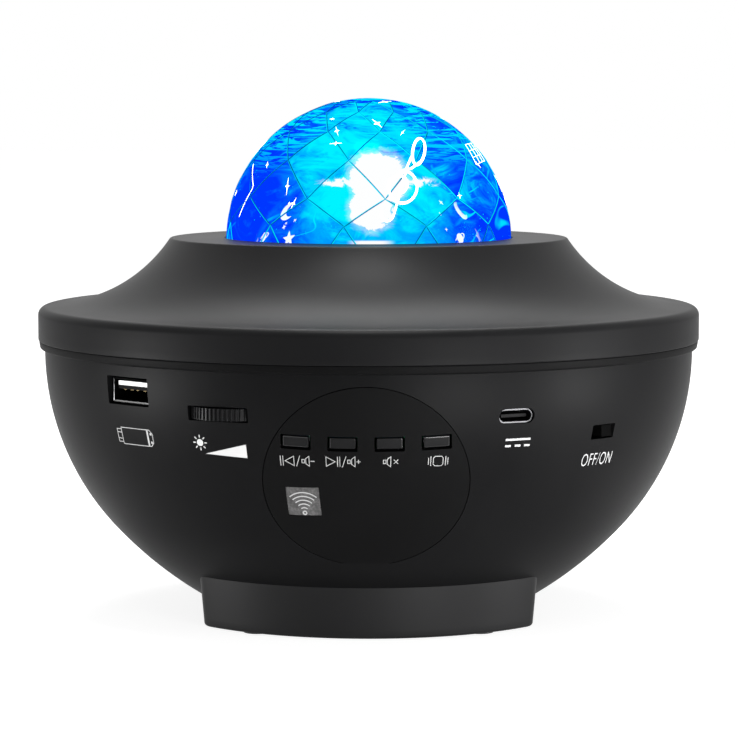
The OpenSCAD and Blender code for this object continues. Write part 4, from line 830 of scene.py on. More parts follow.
def upper_profile():
    """Outer line of the upper shell from its lower edge to the dome's opening."""
    low = [(FLANGE_R - EDGE, SEAM_Z)] + arc((FLANGE_R - EDGE, SEAM_Z + EDGE), EDGE, -60, 0, 3)
    flange = [(FLANGE_R, SEAM_Z + 2), (FLANGE_R, SEAM_Z + 4)]
    flange += arc((FLANGE_R - FLANGE_ROUND, SEAM_Z + FLANGE_WALL_H), FLANGE_ROUND, 0, 88, 10)
    start = 270 - math.degrees(math.asin((FLARE_CR - FLANGE_R + FLANGE_ROUND) / FLARE_R))
    reach = FLARE_R + PLATE_ROUND
    drop = FLARE_CZ - PLATE_Z + PLATE_ROUND
    tangent = math.degrees(math.asin(drop / reach))
    edge = (FLARE_CR - math.sqrt(reach ** 2 - drop ** 2), PLATE_Z - PLATE_ROUND)
    flare = arc((FLARE_CR, FLARE_CZ), FLARE_R, start, 180 + tangent, 40)
    rim = arc(edge, PLATE_ROUND, tangent, 90, 6)
    plate = [(r, PLATE_Z) for r in (48, 44, 40)]
    hole = DOME_R + FIT
    return low + flange + flare + rim + plate + [(hole + EDGE, PLATE_Z), (hole, PLATE_Z - EDGE)]


def make_upper_shell():
    """The upper shell: flange wall, hollow flare and flat top."""
    outer = upper_profile()
    inside_z = PLATE_Z - WALL
    reach = FLARE_R + WALL
    stop = 180 + math.degrees(math.asin((FLARE_CZ - inside_z) / reach))
    inner = [(DOME_R + FIT, inside_z)] + arc((FLARE_CR, FLARE_CZ), reach, stop, 268, 24)
    inner += [(FLANGE_R - WALL, SEAM_Z + FLANGE_WALL_H), (FLANGE_R - WALL, SEAM_Z)]
    shell = lathe("upper_shell_skin", outer + inner)
    smooth(shell)
    true_normals(shell, outer)
    return finish_piece(shell, "upper_plastic", replaces=["upper_shell"])


def bowl_profile(grow, top, end_z, steps=COARSE_STEPS):
    """Line of the bowl from height top down to the floor, grown along its normal."""
    turn = math.degrees(BOWL_TURN)
    end = math.degrees(math.asin((BOWL_C2[1] - end_z) / (BOWL_R2 + grow)))
    upper = arc(BOWL_C1, BOWL_R1 + grow, 0, -turn, steps[0])
    lower = arc(BOWL_C2, BOWL_R2 + grow, -turn, -end, steps[1])
    return [(BOWL_R + grow, top)] + upper + lower[1:]


def bowl_band(name, outside, inside, steps, segments=SEGMENTS):
    """A band of the bowl between two distances from its surface, and its outer line."""
    outer = bowl_profile(outside, *BAND, steps)
    return lathe(name, outer + bowl_profile(inside, *BAND, steps)[::-1], segments), outer


def lower_profile():
    """Outer line of the lower shell from the seam to the floor's opening."""
    lip = [(LIP_R - EDGE, SEAM_Z)] + arc((LIP_R - EDGE, SEAM_Z - EDGE), EDGE, 60, 0, 3)
    lip += [(LIP_R - 0.1, SEAM_Z - 1.0)]
    lip += arc((LIP_R - 0.7, SEAM_Z - LIP_H + 0.55), 0.5, 0, -80, 4)
    bowl = bowl_profile(0, SEAM_Z - LIP_H - 0.1, FLOOR_Z)
    floor = [(r, FLOOR_Z) for r in (38, 32, 28)]
    return lip + bowl + floor + [(GRILLE_R + FIT + EDGE, FLOOR_Z), (GRILLE_R + FIT, FLOOR_Z + EDGE)]


def ir_frame():
    lean = math.degrees(math.asin((BOWL_C1[1] - IR_Z) / BOWL_R1))
    return tilted(place(IR_AZ, bowl_at(IR_Z), IR_Z), lean)


def button_frame():
    return tilted(place(PANEL_AZ, bowl_at(BUTTON_Z), BUTTON_Z), BUTTON_TILT)


def panel_frame():
    return tilted(place(PANEL_AZ, bowl_at(PANEL_Z), PANEL_Z), PANEL_TILT)


def button_x(i):
    return (i - 1.5) * BUTTON_PITCH


def panel_cutters():
    """Prisms that cut the openings of the buttons and the infrared window."""
    opening = rounded(BUTTON_W + 2 * BUTTON_GAP, BUTTON_H + 2 * BUTTON_GAP, 0.25)
    made = []
    for i in range(4):
        outline = [(x + button_x(i), z) for x, z in opening]
        made.append(prism(f"button_cut_{i}", outline, -5, 7, button_frame()))
    made.append(prism("window_cut", rounded(IR_SIZE, IR_SIZE, 0.2), -6, 6, ir_frame()))
    return made


def port_cutters():
    made = []
    for name, az, z, size, r in (("usb_a", USB_A_AZ, USB_A_Z, USB_A_OPEN, 0.3),
                                 ("usb_c", USB_C_AZ, USB_C_Z, USB_C_OPEN, 1.775),
                                 ("dial", DIAL_AZ, DIAL_Z, DIAL_OPEN, 0.3),
                                 ("switch", SWITCH_AZ, SWITCH_Z, SWITCH_OPEN, 0.3)):
        made.append(prism(name + "_cut", rounded(*size, r, 8), -5, 5, place(az, BOWL_R, z)))
    return made


def make_lower_shell():
    """The lower shell: lip, bowl and floor, with its openings."""
    outer = lower_profile()
    inner_z = FLOOR_Z + WALL
    step_z = FLOOR_Z + GRILLE_T
    ledge = [(GRILLE_R + FIT, step_z), (SPEAKER_OPEN_R, step_z), (SPEAKER_OPEN_R, inner_z)]
    inner = bowl_profile(-WALL, SEAM_Z - LIP_H, inner_z, (24, 14))[::-1]
    tongue = FLANGE_R - WALL - FIT
    top = [(tongue - 1.6, SEAM_Z + 2.2), (tongue - 0.2, SEAM_Z + 2.2), (tongue, SEAM_Z + 2), (tongue, SEAM_Z)]
    shell = lathe("lower_shell_skin", outer + ledge + inner + top)
    disc = prism("panel_cut", circle(PANEL_R + GROOVE, 144), -12, 12, panel_frame())
    band, _ = bowl_band("band", 1, -PANEL_T - SEAT, COARSE_STEPS, 144)
    recess = combine(disc, band, "INTERSECT")
    combine(shell, recess, "DIFFERENCE")
    combine(shell, join(panel_cutters()), "DIFFERENCE")
    combine(shell, join(port_cutters()), "DIFFERENCE")
    clean_up(shell, outer)
    finish_piece(shell, "shell_plastic lip_plastic", replaces=["lower_shell"])
    # The lip under the flange gets the darker copy of the plastic as painted shade.
    paint(shell, lambda face: face.center.z > (SEAM_Z - LIP_H + 0.1) * MM)
    return shell


def make_panel():
    """The round control panel, flush with the bowl."""
    band, outer = bowl_band("control_panel_skin", 0, -PANEL_T, FINE_STEPS)
    disc = prism("disc", circle(PANEL_R, 144), -12, 12, panel_frame())
    combine(band, disc, "INTERSECT")
    combine(band, join(panel_cutters()), "DIFFERENCE")
    clean_up(band, outer)
    return finish_piece(band, "panel_plastic", replaces=["control_panel"])


def foot_outline(along, around):
    """Points round a foot's section: (angle along its arc, angle round its end)."""
    sides = [-FOOT_HALF + 2 * FOOT_HALF * i / along for i in range(along + 1)]
    turns = [math.pi * i / around for i in range(1, around)]
    return ([(a, 0) for a in sides] + [(FOOT_HALF, t) for t in turns]
            + [(a, math.pi) for a in sides[::-1]] + [(-FOOT_HALF, math.pi + t) for t in turns])


def foot_point(az, a, turn, z, inset):
    """A point on a foot's leaning side, moved inwards by inset."""
    height = bowl_height(FOOT_R) - FOOT_Z
    half = FOOT_W / 2 - FOOT_DRAFT * (1 - (z - FOOT_Z) / height) - inset
    r, side, b = FOOT_R - FOOT_W / 2 + half * math.cos(turn), half * math.sin(turn), a + math.radians(az)
    return Vector((r * math.sin(b) + side * math.cos(b), side * math.sin(b) - r * math.cos(b), z))


def make_foot(name, az):
    """An arc-shaped foot with round, leaning ends, its top fitted to the bowl."""
    along, around, edge_steps, side_steps = 44, 14, 5, 8
    outline = foot_outline(along, around)
    n, rows = len(outline), edge_steps + side_steps + 1
    points, faces = [], []
    for a, turn in outline:
        for k in range(edge_steps + 1):
            lean = math.pi / 2 * k / edge_steps
            rise, inset = FOOT_EDGE * (1 - math.cos(lean)), FOOT_EDGE * (1 - math.sin(lean))
            points.append(foot_point(az, a, turn, FOOT_Z + rise, inset))
        low, top = FOOT_Z + FOOT_EDGE, FOOT_Z + 8
        for _ in range(8):
            p = foot_point(az, a, turn, top, 0)
            top = max(bowl_height(math.hypot(p.x, p.y)), FLOOR_Z) + 0.05
        points += [foot_point(az, a, turn, low + (top - low) * k / side_steps, 0)
                   for k in range(1, side_steps + 1)]
    for i in range(n):
        j = (i + 1) % n
        faces += [(i * rows + k, j * rows + k, j * rows + k + 1, i * rows + k + 1) for k in range(rows - 1)]
    other = n - around
    for row in (0, rows - 1):
        cover = [(i, i + 1, other - i - 1, other - i) for i in range(along)]
        cover += [range(along, along + around + 1), [*range(other, n), 0]]
        faces += [[i * rows + row for i in face] for face in cover]
    foot = build(name + "_skin", points, faces)
    smooth(foot, 40)
    return finish_piece(foot, "foot_plastic", replaces=[name])


def on_bowl(matrix, x, z, inset):
    """Depth along a frame's Y at which the bowl's surface, inset along its normal, lies."""
    near, far = -8.0, 12.0
    for _ in range(40):
        y = (near + far) / 2
        p = matrix @ Vector((x, y, z))
        if math.hypot(p.x, p.y) > bowl_at(p.z, -inset):
            near = y
        else:
            far = y
    return y


def make_button(i, name):
    """A push button with a face that follows the bowl and softened edges, which carry a painted highlight."""
    matrix = button_frame()
    across, up = 12, 6
    xs = [button_x(i) - BUTTON_W / 2 + BUTTON_W * k / across for k in range(across + 1)]
    zs = [-BUTTON_H / 2 + BUTTON_H * k / up for k in range(up + 1)]
    points = [matrix @ Vector((x, on_bowl(matrix, x, z, BUTTON_RECESS), z)) for z in zs for x in xs]
    front = len(points)
    points += [matrix @ Vector((x, BUTTON_DEPTH, z)) for z in zs for x in xs]
    wide = across + 1
    faces = []
    for base in (0, front):
        faces += [(base + k * wide + j, base + k * wide + j + 1, base + (k + 1) * wide + j + 1,
                   base + (k + 1) * wide + j) for k in range(up) for j in range(across)]
    rim = ([j for j in range(wide)] + [k * wide + across for k in range(1, up + 1)]
           + [up * wide + j for j in range(across - 1, -1, -1)] + [k * wide for k in range(up - 1, 0, -1)])
    faces += [(a, b, b + front, a + front) for a, b in zip(rim, rim[1:] + rim[:1])]
    button = build(name + "_skin", points, faces)
    bevelled(button, 0.22, 3, 50)
    smooth(button, 50)
    finish_piece(button, "button_plastic button_edge", name, [name])
    front = matrix.to_3x3() @ Vector((0, -1, 0))
    # Faces of the rounded edge that turn aside get the painted highlight.
    paint(button, lambda face: 0.2 < face.normal.dot(front) < 0.95)
    return button


def make_window():
    """The infrared window: a smoked square, slightly below the panel."""
    band, outer = bowl_band("ir_window_skin", -WINDOW_INSET, -WALL, FINE_STEPS)
    square = prism("square", rounded(IR_SIZE - FIT, IR_SIZE - FIT, 0.2), -6, 6, ir_frame())
    combine(band, square, "INTERSECT")
    clean_up(band, outer)
    return finish_piece(band, "window_plastic", replaces=["ir_window"])


make_upper_shell()
make_lower_shell()
make_panel()
make_foot("front_foot", 0)
make_foot("rear_foot", 180)
for index, button_name in enumerate(("previous_button", "next_button", "mute_button", "mode_button")):
    make_button(index, button_name)
make_window()

# ------------------------------------------------------------------ dome

LATTICE_TURNS = 11
LATTICE_TURN = -9.6
LATTICE_ROWS = (0, 8.2, 19, 35.5, 50.5, 64.5, 77.5)
BASE_SPREAD = 5.7
RIB_W = 0.44
RIB_H = 0.1


def lattice_point(row, k):
    """Azimuth and elevation of a lattice crossing; every other row is turned by half a step."""
    step = 360 / LATTICE_TURNS
    return LATTICE_TURN + (k + (0 if row % 2 else 0.5)) * step, LATTICE_ROWS[row]


def lattice_edges():
    """Pairs of (azimuth, elevation) that the ribs join."""
    edges = []
    for k in range(LATTICE_TURNS):
        az, el = lattice_point(1, k)
        edges += [((az, el), (az + s * BASE_SPREAD, 0)) for s in (-1, 1)]
        for row in range(1, len(LATTICE_ROWS) - 1):
            here = lattice_point(row, k)
            other = k if row % 2 else k + 1
            edges += [(here, lattice_point(row + 1, other)), (here, lattice_point(row + 1, other - 1))]
    return edges


def lattice_cells():
    """Corners of each facet: bottom, right, top and left, each edge a list of (azimuth, elevation)."""
    cells, last = [], len(LATTICE_ROWS) - 1
    for k in range(LATTICE_TURNS):
        az, el = lattice_point(1, k)
        after = lattice_point(1, k + 1)
        cells.append([[(az, 0), (az + BASE_SPREAD, 0)], [(az + BASE_SPREAD, 0), (az, el)],
                      [(az, el), (az - BASE_SPREAD, 0)], [(az - BASE_SPREAD, 0), (az, 0)]])
        base = ((az + after[0]) / 2, 0)
        cells.append([[base, (after[0] - BASE_SPREAD, 0), after], [after, lattice_point(2, k)],
                      [lattice_point(2, k), (az, el)], [(az, el), (az + BASE_SPREAD, 0), base]])
        for row in range(1, last):
            right = k if row % 2 else k + 1
            corners = [lattice_point(row, k), lattice_point(row + 1, right),
                       (lattice_point(row, k)[0], LATTICE_ROWS[row + 2] if row + 2 <= last else 90),
                       lattice_point(row + 1, right - 1)]
            cells.append([[a, b] for a, b in zip(corners, corners[1:] + corners[:1])])
    return cells


def along(line, t):
    """A point a part t of the way along a line of directions."""
    ends = [Vector(direction(*p)) for p in line]
    t *= len(ends) - 1
    i = min(int(t), len(ends) - 2)
    return ends[i].lerp(ends[i + 1], t - i).normalized()


def make_facets():
    """The dome's outer surface, facet by facet, with each facet's own shade."""
    steps = 12
    points, faces, shades = [], [], []
    centre = Vector((0, 0, DOME_Z))
    randomly = random.Random(11)
    for bottom_right, right_top, top_left, left_bottom in lattice_cells():
        first = len(points)
        a, b = Vector(direction(*bottom_right[0])), Vector(direction(*right_top[0]))
        c, d = Vector(direction(*top_left[0])), Vector(direction(*left_bottom[0]))
        for i in range(steps + 1):
            for j in range(steps + 1):
                s, t = i / steps, j / steps
                low, high = along(bottom_right, s), along(top_left, 1 - s)
                near, far = along(left_bottom, 1 - t), along(right_top, t)
                flat = a * (1 - s) * (1 - t) + b * s * (1 - t) + c * s * t + d * (1 - s) * t
                p = low * (1 - t) + high * t + near * (1 - s) + far * s - flat
                points.append(centre + p.normalized() * (DOME_R - RIB_H))
        wide = steps + 1
        faces += [(first + i * wide + j, first + (i + 1) * wide + j, first + (i + 1) * wide + j + 1,
                   first + i * wide + j + 1) for i in range(steps) for j in range(steps)]
        shades += [randomly.random()] * steps * steps
    facets = build("dome_facets", points, faces)
    shade = facets.data.attributes.new("facet", "FLOAT", "FACE")
    shade.data.foreach_set("value", shades)
    rework(facets.data, weld)
    facets.data.shade_smooth()
    return facets


def make_dome():
    """The dome's cover: facets outside, a smooth inner face and a flange under the flat top."""
    outer_r, inner_r = DOME_R - RIB_H, DOME_R - DOME_T
    flange_top = DOME_FLANGE_Z + DOME_FLANGE_T
    rest = [(outer_r, DOME_Z), (outer_r, flange_top), (DOME_R + DOME_FLANGE_W, flange_top),
            (DOME_R + DOME_FLANGE_W, DOME_FLANGE_Z), (inner_r, DOME_FLANGE_Z)]
    rest += arc((0, DOME_Z), inner_r, 0, 89, 40) + [(0, DOME_Z + inner_r)]
    inside = lathe("dome_cover_skin", rest, 132, closed=False)
    smooth(inside)
    dress(inside, "dome_clear dome_plastic")
    facets = make_facets()
    dress(facets, "dome_clear dome_plastic")
    paint(facets, lambda face: 1)
    dome = join([inside, facets])
    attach(dome, "housing")
    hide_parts("dome_cover")
    return dome


def make_ribs():
    """Fine ridges on the dome, one flank with painted light and the other with painted shade, as if lit from
    one side.
    """
    points, faces, shades = [], [], []
    base_r = DOME_R - RIB_H - 0.02
    for (az0, el0), (az1, el1) in lattice_edges():
        a, b = Vector(direction(az0, el0)), Vector(direction(az1, el1))
        steps = max(6, int(a.angle(b) / math.radians(1.6)))
        first = len(points)
        for i in range(steps + 1):
            d = a.slerp(b, i / steps)
            side = d.cross(b - a).normalized()
            centre = Vector((0, 0, DOME_Z))
            half = RIB_W / 2 * (1 if 0 < i < steps else 0.5)
            points += [centre + d * base_r + side * half, centre + d * (DOME_R - 0.005),
                       centre + d * base_r - side * half]
        for i in range(steps):
            p, q = first + 3 * i, first + 3 * i + 3
            faces += [(p, p + 1, q + 1, q), (p + 1, p + 2, q + 2, q + 1), (p + 2, p, q, q + 2)]
            shades += [0, 1, 1]
    ribs = build("dome_ribs", points, faces)
    dress(ribs, "line_bright line_dark")
    ribs.data.polygons.foreach_set("material_index", shades)
    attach(ribs, "housing")
    return ribs


def make_pattern_dome():
    outer = [(0, PATTERN_TOP)] + arc((0, PATTERN_Z), PATTERN_R, 89, 0, 48)
    if PATTERN_Z - PATTERN_BASE > 0.5:
        outer.append((PATTERN_R, PATTERN_BASE))
    inside = PATTERN_R - PATTERN_T
    inner = [(inside, PATTERN_BASE)] + arc((0, PATTERN_Z), inside, 0, 88, 32) + [(0, PATTERN_Z + inside)]
    dome = lathe("pattern_dome_skin", outer + inner, 144)
    smooth(dome)
    return finish_piece(dome, "pattern_plastic", "pattern_dome", ["pattern_dome"])


make_dome()
make_ribs()
make_pattern_dome()

# ------------------------------------------------------------------ print and light figures

def bowl_chart(az, z, inset=0):
    """A sheet on the bowl: u mm to the right and v mm up from a place, w outwards."""
    def at(u, v, w):
        r = bowl_at(z + v, w - inset)
        a = math.radians(az) + u / bowl_at(z)
        return (r * math.sin(a), -r * math.cos(a), z + v)
    return at


def dome_chart(az, el, turn=0, radius=PATTERN_R, centre_z=PATTERN_Z):
    """A sheet on a dome, turned by an angle."""
    out = Vector(direction(az, el))
    right = Vector((math.cos(math.radians(az)), math.sin(math.radians(az)), 0))
    up = out.cross(right)
    c, s = math.cos(math.radians(turn)), math.sin(math.radians(turn))

    def at(u, v, w):
        d = (out * radius + right * (u * c - v * s) + up * (u * s + v * c)).normalized()
        return Vector((0, 0, centre_z)) + d * (radius + w)
    return at


def stroke(points, width, closed=False):
    """Mitred quads along a line."""
    pts = [Vector(p) for p in points]
    n = len(pts)
    sides = []
    for i, p in enumerate(pts):
        before = pts[i - 1] if closed or i else None
        after = pts[(i + 1) % n] if closed or i < n - 1 else None
        d0 = (p - before).normalized() if before is not None else (after - p).normalized()
        d1 = (after - p).normalized() if after is not None else d0
        mean = (d0 + d1).normalized()
        across = Vector((-mean.y, mean.x)) * (width / 2 / max(mean.dot(d1), 0.4))
        sides.append((p + across, p - across))
    last = n if closed else n - 1
    return [[sides[i][0], sides[i][1], sides[(i + 1) % n][1], sides[(i + 1) % n][0]] for i in range(last)]


def filled(outline):
    """Triangles that fill an outline."""
    pts = [Vector((x, y, 0)) for x, y in outline]
    return [[pts[i].to_2d() for i in tri] for tri in tessellate_polygon([pts])]


def figure(name, shapes, chart, material, body, height=PRINT_T):
    """A thin raised figure from flat polygons, laid on a chart."""
    bm = bmesh.new()
    for shape in shapes:
        bm.faces.new([bm.verts.new((u, v, 1)) for u, v in shape])
    bmesh.ops.remove_doubles(bm, verts=bm.verts, dist=1e-4)
    for _ in range(4):
        long = [e for e in bm.edges if e.calc_length() > 1]
        if long:
            bmesh.ops.subdivide_edges(bm, edges=long, cuts=1, use_grid_fill=True)
    bmesh.ops.triangulate(bm, faces=[f for f in bm.faces if len(f.verts) > 4])
    top = list(bm.faces)
    sheet = bmesh.ops.extrude_face_region(bm, geom=top, use_keep_orig=True)
    for v in sheet["geom"]:
        if isinstance(v, bmesh.types.BMVert):
            v.co.z = 0
    points = [chart(v.co.x, v.co.y, height if v.co.z > 0.5 else -PRINT_SINK) for v in bm.verts]
    bm.verts.index_update()
    faces = [[v.index for v in f.verts] for f in bm.faces]
    bm.free()
    return finish_piece(build(name, points, faces), material, body)


def ring(r, width, start=0, end=360, steps=24, centre=(0, 0)):
    points = arc(centre, r, start, end, steps)
    if end - start >= 360:
        return stroke(points[:-1], width, True)
    return stroke(points, width)


def moved(shapes, dx):
    return [[(u + dx, v) for u, v in shape] for shape in shapes]


# Widths of the printed lines
LINE = 0.16
FINE = 0.15
THIN = 0.14
BOLD = 0.185
SIGN = 0.17
HORN = 0.145
RAY = 0.26
DASH = 0.5


def line(x0, y0, x1, y1, width=FINE):
    return stroke([(x0, y0), (x1, y1)], width)


def speaker_sign():
    """A small loudspeaker."""
    box = [(-0.95, -0.42), (-0.35, -0.42), (-0.35, 0.42), (-0.95, 0.42)]
    horn = [(-0.05, -0.62), (0.75, -1.2), (0.75, 1.2), (-0.05, 0.62)]
    return stroke(box, HORN, True) + stroke(horn, HORN, True)


def slash(x):
    return line(x - 0.45, -1.3, x + 0.45, 1.3)


def icons():
    """The generic signs under the four buttons, each with its angle from the front."""
    bars = line(-3.95, -1.2, -3.95, 1.2, BOLD) + line(-3.35, -1.2, -3.35, 1.2, THIN)
    back = stroke([(-0.75, -1.15), (-0.75, 1.15), (-2.85, 0)], FINE, True)
    minus = line(3.2, 0, 4.1, 0, SIGN)
    previous = bars + back + slash(0.25) + moved(speaker_sign(), 2.1) + minus
    forward = stroke([(-3.85, -1.15), (-3.85, 1.15), (-1.75, 0)], FINE, True)
    bars = line(-1.2, -1.2, -1.2, 1.2, BOLD) + line(-0.65, -1.2, -0.65, 1.2, THIN)
    plus = line(3.2, 0, 3.53, 0, SIGN) + line(3.79, 0, 4.12, 0, SIGN) + line(3.66, -0.46, 3.66, 0.46, SIGN)
    following = forward + bars + slash(0.35) + moved(speaker_sign(), 2.1) + plus
    cross = [line(1.35 + 0.12 * k, 0.12 * m, 1.35 + 0.5 * k, 0.5 * m) for k in (-1, 1) for m in (-1, 1)]
    mute = moved(speaker_sign(), -0.6) + sum(cross, []) + line(1.2, 0, 1.5, 0, BOLD)
    border = stroke([(-0.75, -1.15), (0.75, -1.15), (1.15, -0.75), (1.15, 0.75), (0.75, 1.15), (-0.75, 1.15),
                     (-1.15, 0.75), (-1.15, -0.75)], FINE, True)
    sides = [line(x, -h, x, h) for x, h in ((-1.75, 1.15), (1.75, 1.15), (-2.3, 0.85), (2.3, 0.85))]
    mode = border + sum(sides, [])
    return {"previous": (-12.0, previous), "next": (-4.3, following),
            "mute": (3.6, mute), "mode": (11.7, mode)}


def phone_sign():
    """A plug on the left of a phone."""
    body = [(-4.3, -2.0), (5.4, -2.0), (6.3, -1.1), (6.3, 1.1), (5.4, 2.0), (-4.3, 2.0)]
    shapes = stroke(body, LINE, True) + line(4.75, -1.86, 4.75, 1.86, 0.5)
    shapes += line(5.75, -1.3, 5.75, -0.75, 0.55) + line(5.75, 0.75, 5.75, 1.3, 0.55)
    shapes += stroke([(-4.44, 1.55), (-5.9, 1.55), (-5.9, -1.55), (-4.44, -1.55)], LINE)
    return shapes + line(-5.76, 0.75, -4.44, 0.75, LINE) + line(-5.76, -0.75, -4.44, -0.75, LINE)


def sun_sign():
    rays = [line(1.2 * x, 1.2 * y, 1.85 * x, 1.85 * y, RAY) for x, y in circle(1, 8)]
    return filled(circle(0.85, 24)) + sum(rays, [])


def direct_current_sign():
    """A line over three dashes, for direct current."""
    dashes = [line(x, -0.75, x + 1.5, -0.75, DASH) for x in (-3.25, -0.75, 1.75)]
    return line(-3.25, 0.75, 3.25, 0.75, DASH) + sum(dashes, [])


def lettering(text, width, height):
    """The flat triangles of a text, scaled to a width and a cap height."""
    curve = bpy.data.curves.new("lettering", "FONT")
    curve.body = text
    curve.offset = -0.012
    curve.space_character = 1.1
    obj = new_object("lettering", curve)
    mesh = shown_mesh(obj)
    bpy.data.objects.remove(obj)
    xs, ys = [v.co.x for v in mesh.vertices], [v.co.y for v in mesh.vertices]
    sx, sy = width / (max(xs) - min(xs)), height / (max(ys) - min(ys))
    flat = [((x - min(xs)) * sx - width / 2, (y - min(ys)) * sy - height / 2) for x, y in zip(xs, ys)]
    return [[flat[i] for i in face.vertices] for face in mesh.polygons]


def make_print():
    """Everything that is printed on the front of the bowl."""
    for name, (az, shapes) in icons().items():
        figure(f"print_{name}", shapes, bowl_chart(az, SEAM_Z - 22.5), "print_grey", "housing")
    wide = bowl_at(SEAM_Z - 21) * math.radians(7.8)
    wedge = filled([(-wide / 2, -1.05), (wide / 2, -1.6), (wide / 2, 1.65)])
    for name, shapes, az, drop, ink in (
            ("phone", phone_sign(), -43.8, 19.1, "print_grey"),
            ("sun", sun_sign(), -29.3, 19.1, "print_white"),
            ("wedge", wedge, -24.6, 20.65, "print_white"),
            ("current", direct_current_sign(), 25.6, 18.8, "print_grey"),
            ("switch", lettering("OFF/ON", 10.4, 3.0), 43.7, 24.5, "print_grey")):
        figure(f"print_{name}", shapes, bowl_chart(az, SEAM_Z - drop), ink, "housing")
    waves = ring(0.42, 0.3, centre=(0, -2.75))
    for k in range(5):
        waves += ring(1.15 + 0.95 * k, 0.27, 50, 130, 12, centre=(0, -2.6))
    figure("print_waves", waves, bowl_chart(IR_AZ, IR_Z, WINDOW_INSET), "print_grey", "housing")


def star(size, points=5, inner=0.42):
    """A star, or a glint where it has four points."""
    reach = [size * (1 if k % 2 == 0 else inner) for k in range(2 * points)]
    return filled([(r * math.sin(math.pi * k / points), r * math.cos(math.pi * k / points))
                   for k, r in enumerate(reach)])


def crescent(size):
    outer = arc((0, 0), size, 50, 310, 24)
    x, y = outer[0]
    centre = 0.55 * size
    start = math.degrees(math.atan2(y, x - centre))
    inner = arc((centre, 0), math.hypot(x - centre, y), 360 - start, start, 20)
    return filled(outer + inner[1:-1])


def clef():
    """A curly musical sign."""
    loop = [(1.4 + 1.5 * x, 7.0 + 3.8 * y) for x, y in circle(1, 28)]
    stem = [(0.1, 5.4), (-0.5, 2.0), (-0.4, -8.6)] + arc((-1.9, -8.8), 1.5, -5, -190, 12)
    belly = arc((-0.2, -2.4), 3.4, 120, -190, 28) + arc((-1.2, -2.2), 1.9, 165, -60, 16)
    shoulder = [(2.6, 4.6), (0.6, 2.0), (-1.9, 0.5)]
    return stroke(loop, 0.62, True) + stroke(stem, 0.5) + stroke(belly, 0.55) + stroke(shoulder, 0.5)


def net():
    """A leaning grid of thin lines."""
    rows = [stroke([(0.5 * j, 2.1 * j), (7.5 + 0.5 * j, 2.1 * j + 1.5)], 0.11) for j in range(4)]
    columns = [stroke([(2.5 * i, 0.5 * i), (2.5 * i + 1.5, 0.5 * i + 6.3)], 0.11) for i in range(4)]
    return sum(rows + columns, [])


def scaled(shapes, wide, high):
    return [[(u * wide, v * high) for u, v in shape] for shape in shapes]


def make_light_figures():
    """White figures of light on the cover, the same for each LED."""
    for k, led in enumerate(LED_AZ):
        def lit(name, shapes, az, el, turn=0):
            chart = dome_chart(led + az, el, turn, DOME_R - RIB_H, DOME_Z)
            figure(f"{name}_{k}", shapes, chart, "figure_white", "housing", 0.06)

        lit("clef", scaled(clef(), 1.05, 1.3), 13, 28.5, -22)
        if k == 0:
            lit("net", scaled(net(), 1.1, 1.0), 58, 33)
            lit("glimmer", stroke([(-4.0, 7.4), (3.0, 1.2), (3.2, 0.2), (0, -7.2)], 0.12), -69, 22)
        glint = star(1, 4, 0.22)
        for i, (az, el, turn, wide, high) in enumerate((
                (26, 77, 20, 2.6, 0.9), (2, 56, 30, 1.0, 2.2), (-24, 51, 25, 0.6, 2.0),
                (-22, 44, 5, 1.6, 0.7), (-33, 59, 0, 0.7, 0.5), (37, 20, 0, 0.8, 0.8),
                (79, 24, 10, 0.6, 2.4), (84, 17, -20, 0.6, 1.6), (-60, 33, 30, 0.5, 1.1),
                (-38, 17, 0, 0.5, 0.4), (17, 50, -40, 0.3, 1.6))):
            lit(f"glint{i}", scaled(glint, wide, high), az, el, turn)


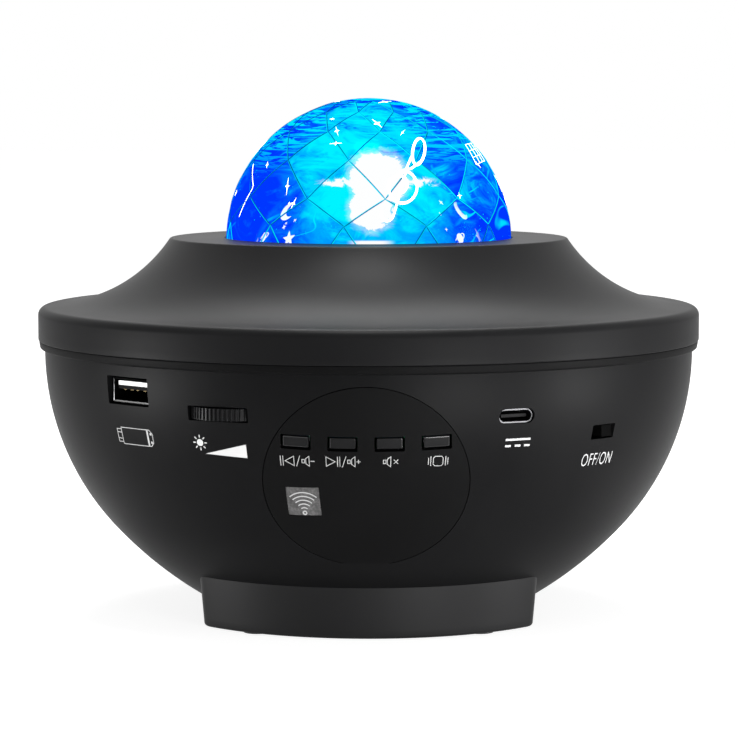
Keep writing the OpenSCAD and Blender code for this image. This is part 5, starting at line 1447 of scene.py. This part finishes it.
def make_figures():
    """White stars, moons and planets on the turning pattern dome."""
    randomly = random.Random(4)
    for k, led in enumerate(LED_AZ):
        def lit(name, shapes, az, el, turn=0):
            chart = dome_chart(led + az, el, turn)
            figure(f"{name}_{k}", shapes, chart, "figure_white", "pattern_dome", 0.08)

        lit("moon", crescent(2.6), 63, 34, 20)
        lit("star", star(2.1), 72, 20, 12)
        planet = filled(circle(1.25, 24)) + scaled(ring(2.3, 0.4, 208, 512, 30), 1, 0.34)
        lit("planet", planet, 49, 20, 25)
        for i in range(6):
            lit(f"dot{i}", star(randomly.uniform(0.4, 0.8), 4, 0.35), 60 + randomly.uniform(-25, 25),
                randomly.uniform(15, 60), randomly.uniform(0, 90))


make_print()
make_light_figures()
make_figures()

# ------------------------------------------------------------------ carried-over CAD nodes

FINISHES = {
    "pad_rubber": "rubber_pads", "gasket_foam": "speaker_gasket", "cone_paper": "speaker_cone",
    "magnet_steel": "speaker_magnet", "sink_aluminium": "heat_sink", "contact_brass": "usb_a_contacts",
    "board_green": "main_board button_board", "board_white": "led_board", "led_phosphor": "led_chips",
    "lens_glass": "condenser_lens", "lead_red": "led_leads speaker_leads", "lead_blue": "motor_leads",
    "port_steel": "usb_a_shell",
    "inlet_steel_shaded": "usb_c_shell",
    "slot_black": "power_slider power_switch_case",
    "screw_steel": "case_screws dome_ring_screws board_screws carrier_screws led_screws tube_screws"
                 " motor_screws speaker_screws motor_shaft",
    "can_steel": "button_switches pattern_motor speaker_frame",
    "white_plastic": "lamp_carrier light_tube",
    "tongue_painted_shade": "usb_a_insulator",
    "gear_plastic": "pattern_ring drive_pinion",
    "chip_black": "board_parts ir_receiver dial_potentiometer",
    "dial_plastic": "brightness_dial",
    "black_plastic": "dome_ring previous_plunger next_plunger mute_plunger mode_plunger usb_c_insulator"
                   " ring_clip speaker_grille",
}
for material, names in FINISHES.items():
    for node_name in names.split():
        dress(nodes[node_name], material)


def paint_port_shade():
    """The side rims of the USB-A mouth keep the bright steel, as they catch the light; its lower rim gets a
    much darker steel, and its upper rim and inside black, as painted shade.
    """
    shell = nodes["usb_a_shell"]
    dress(shell, "port_steel slot_black rim_steel")
    front = place(USB_A_AZ, 0, 0).to_3x3() @ Vector((0, -1, 0))
    lower, upper = (USB_A_Z - 2) * MM, (USB_A_Z + USB_A_OPEN[1] / 2 - 1.2) * MM

    # Faces that turn inwards and the upper rim get painted shade; the lower rim gets the darker steel as
    # painted shade.
    def pick(face):
        if face.normal.dot(front) < 0.7 or face.center.z > upper:
            return 1
        return 2 if face.center.z < lower else 0

    paint(shell, pick)


paint_port_shade()
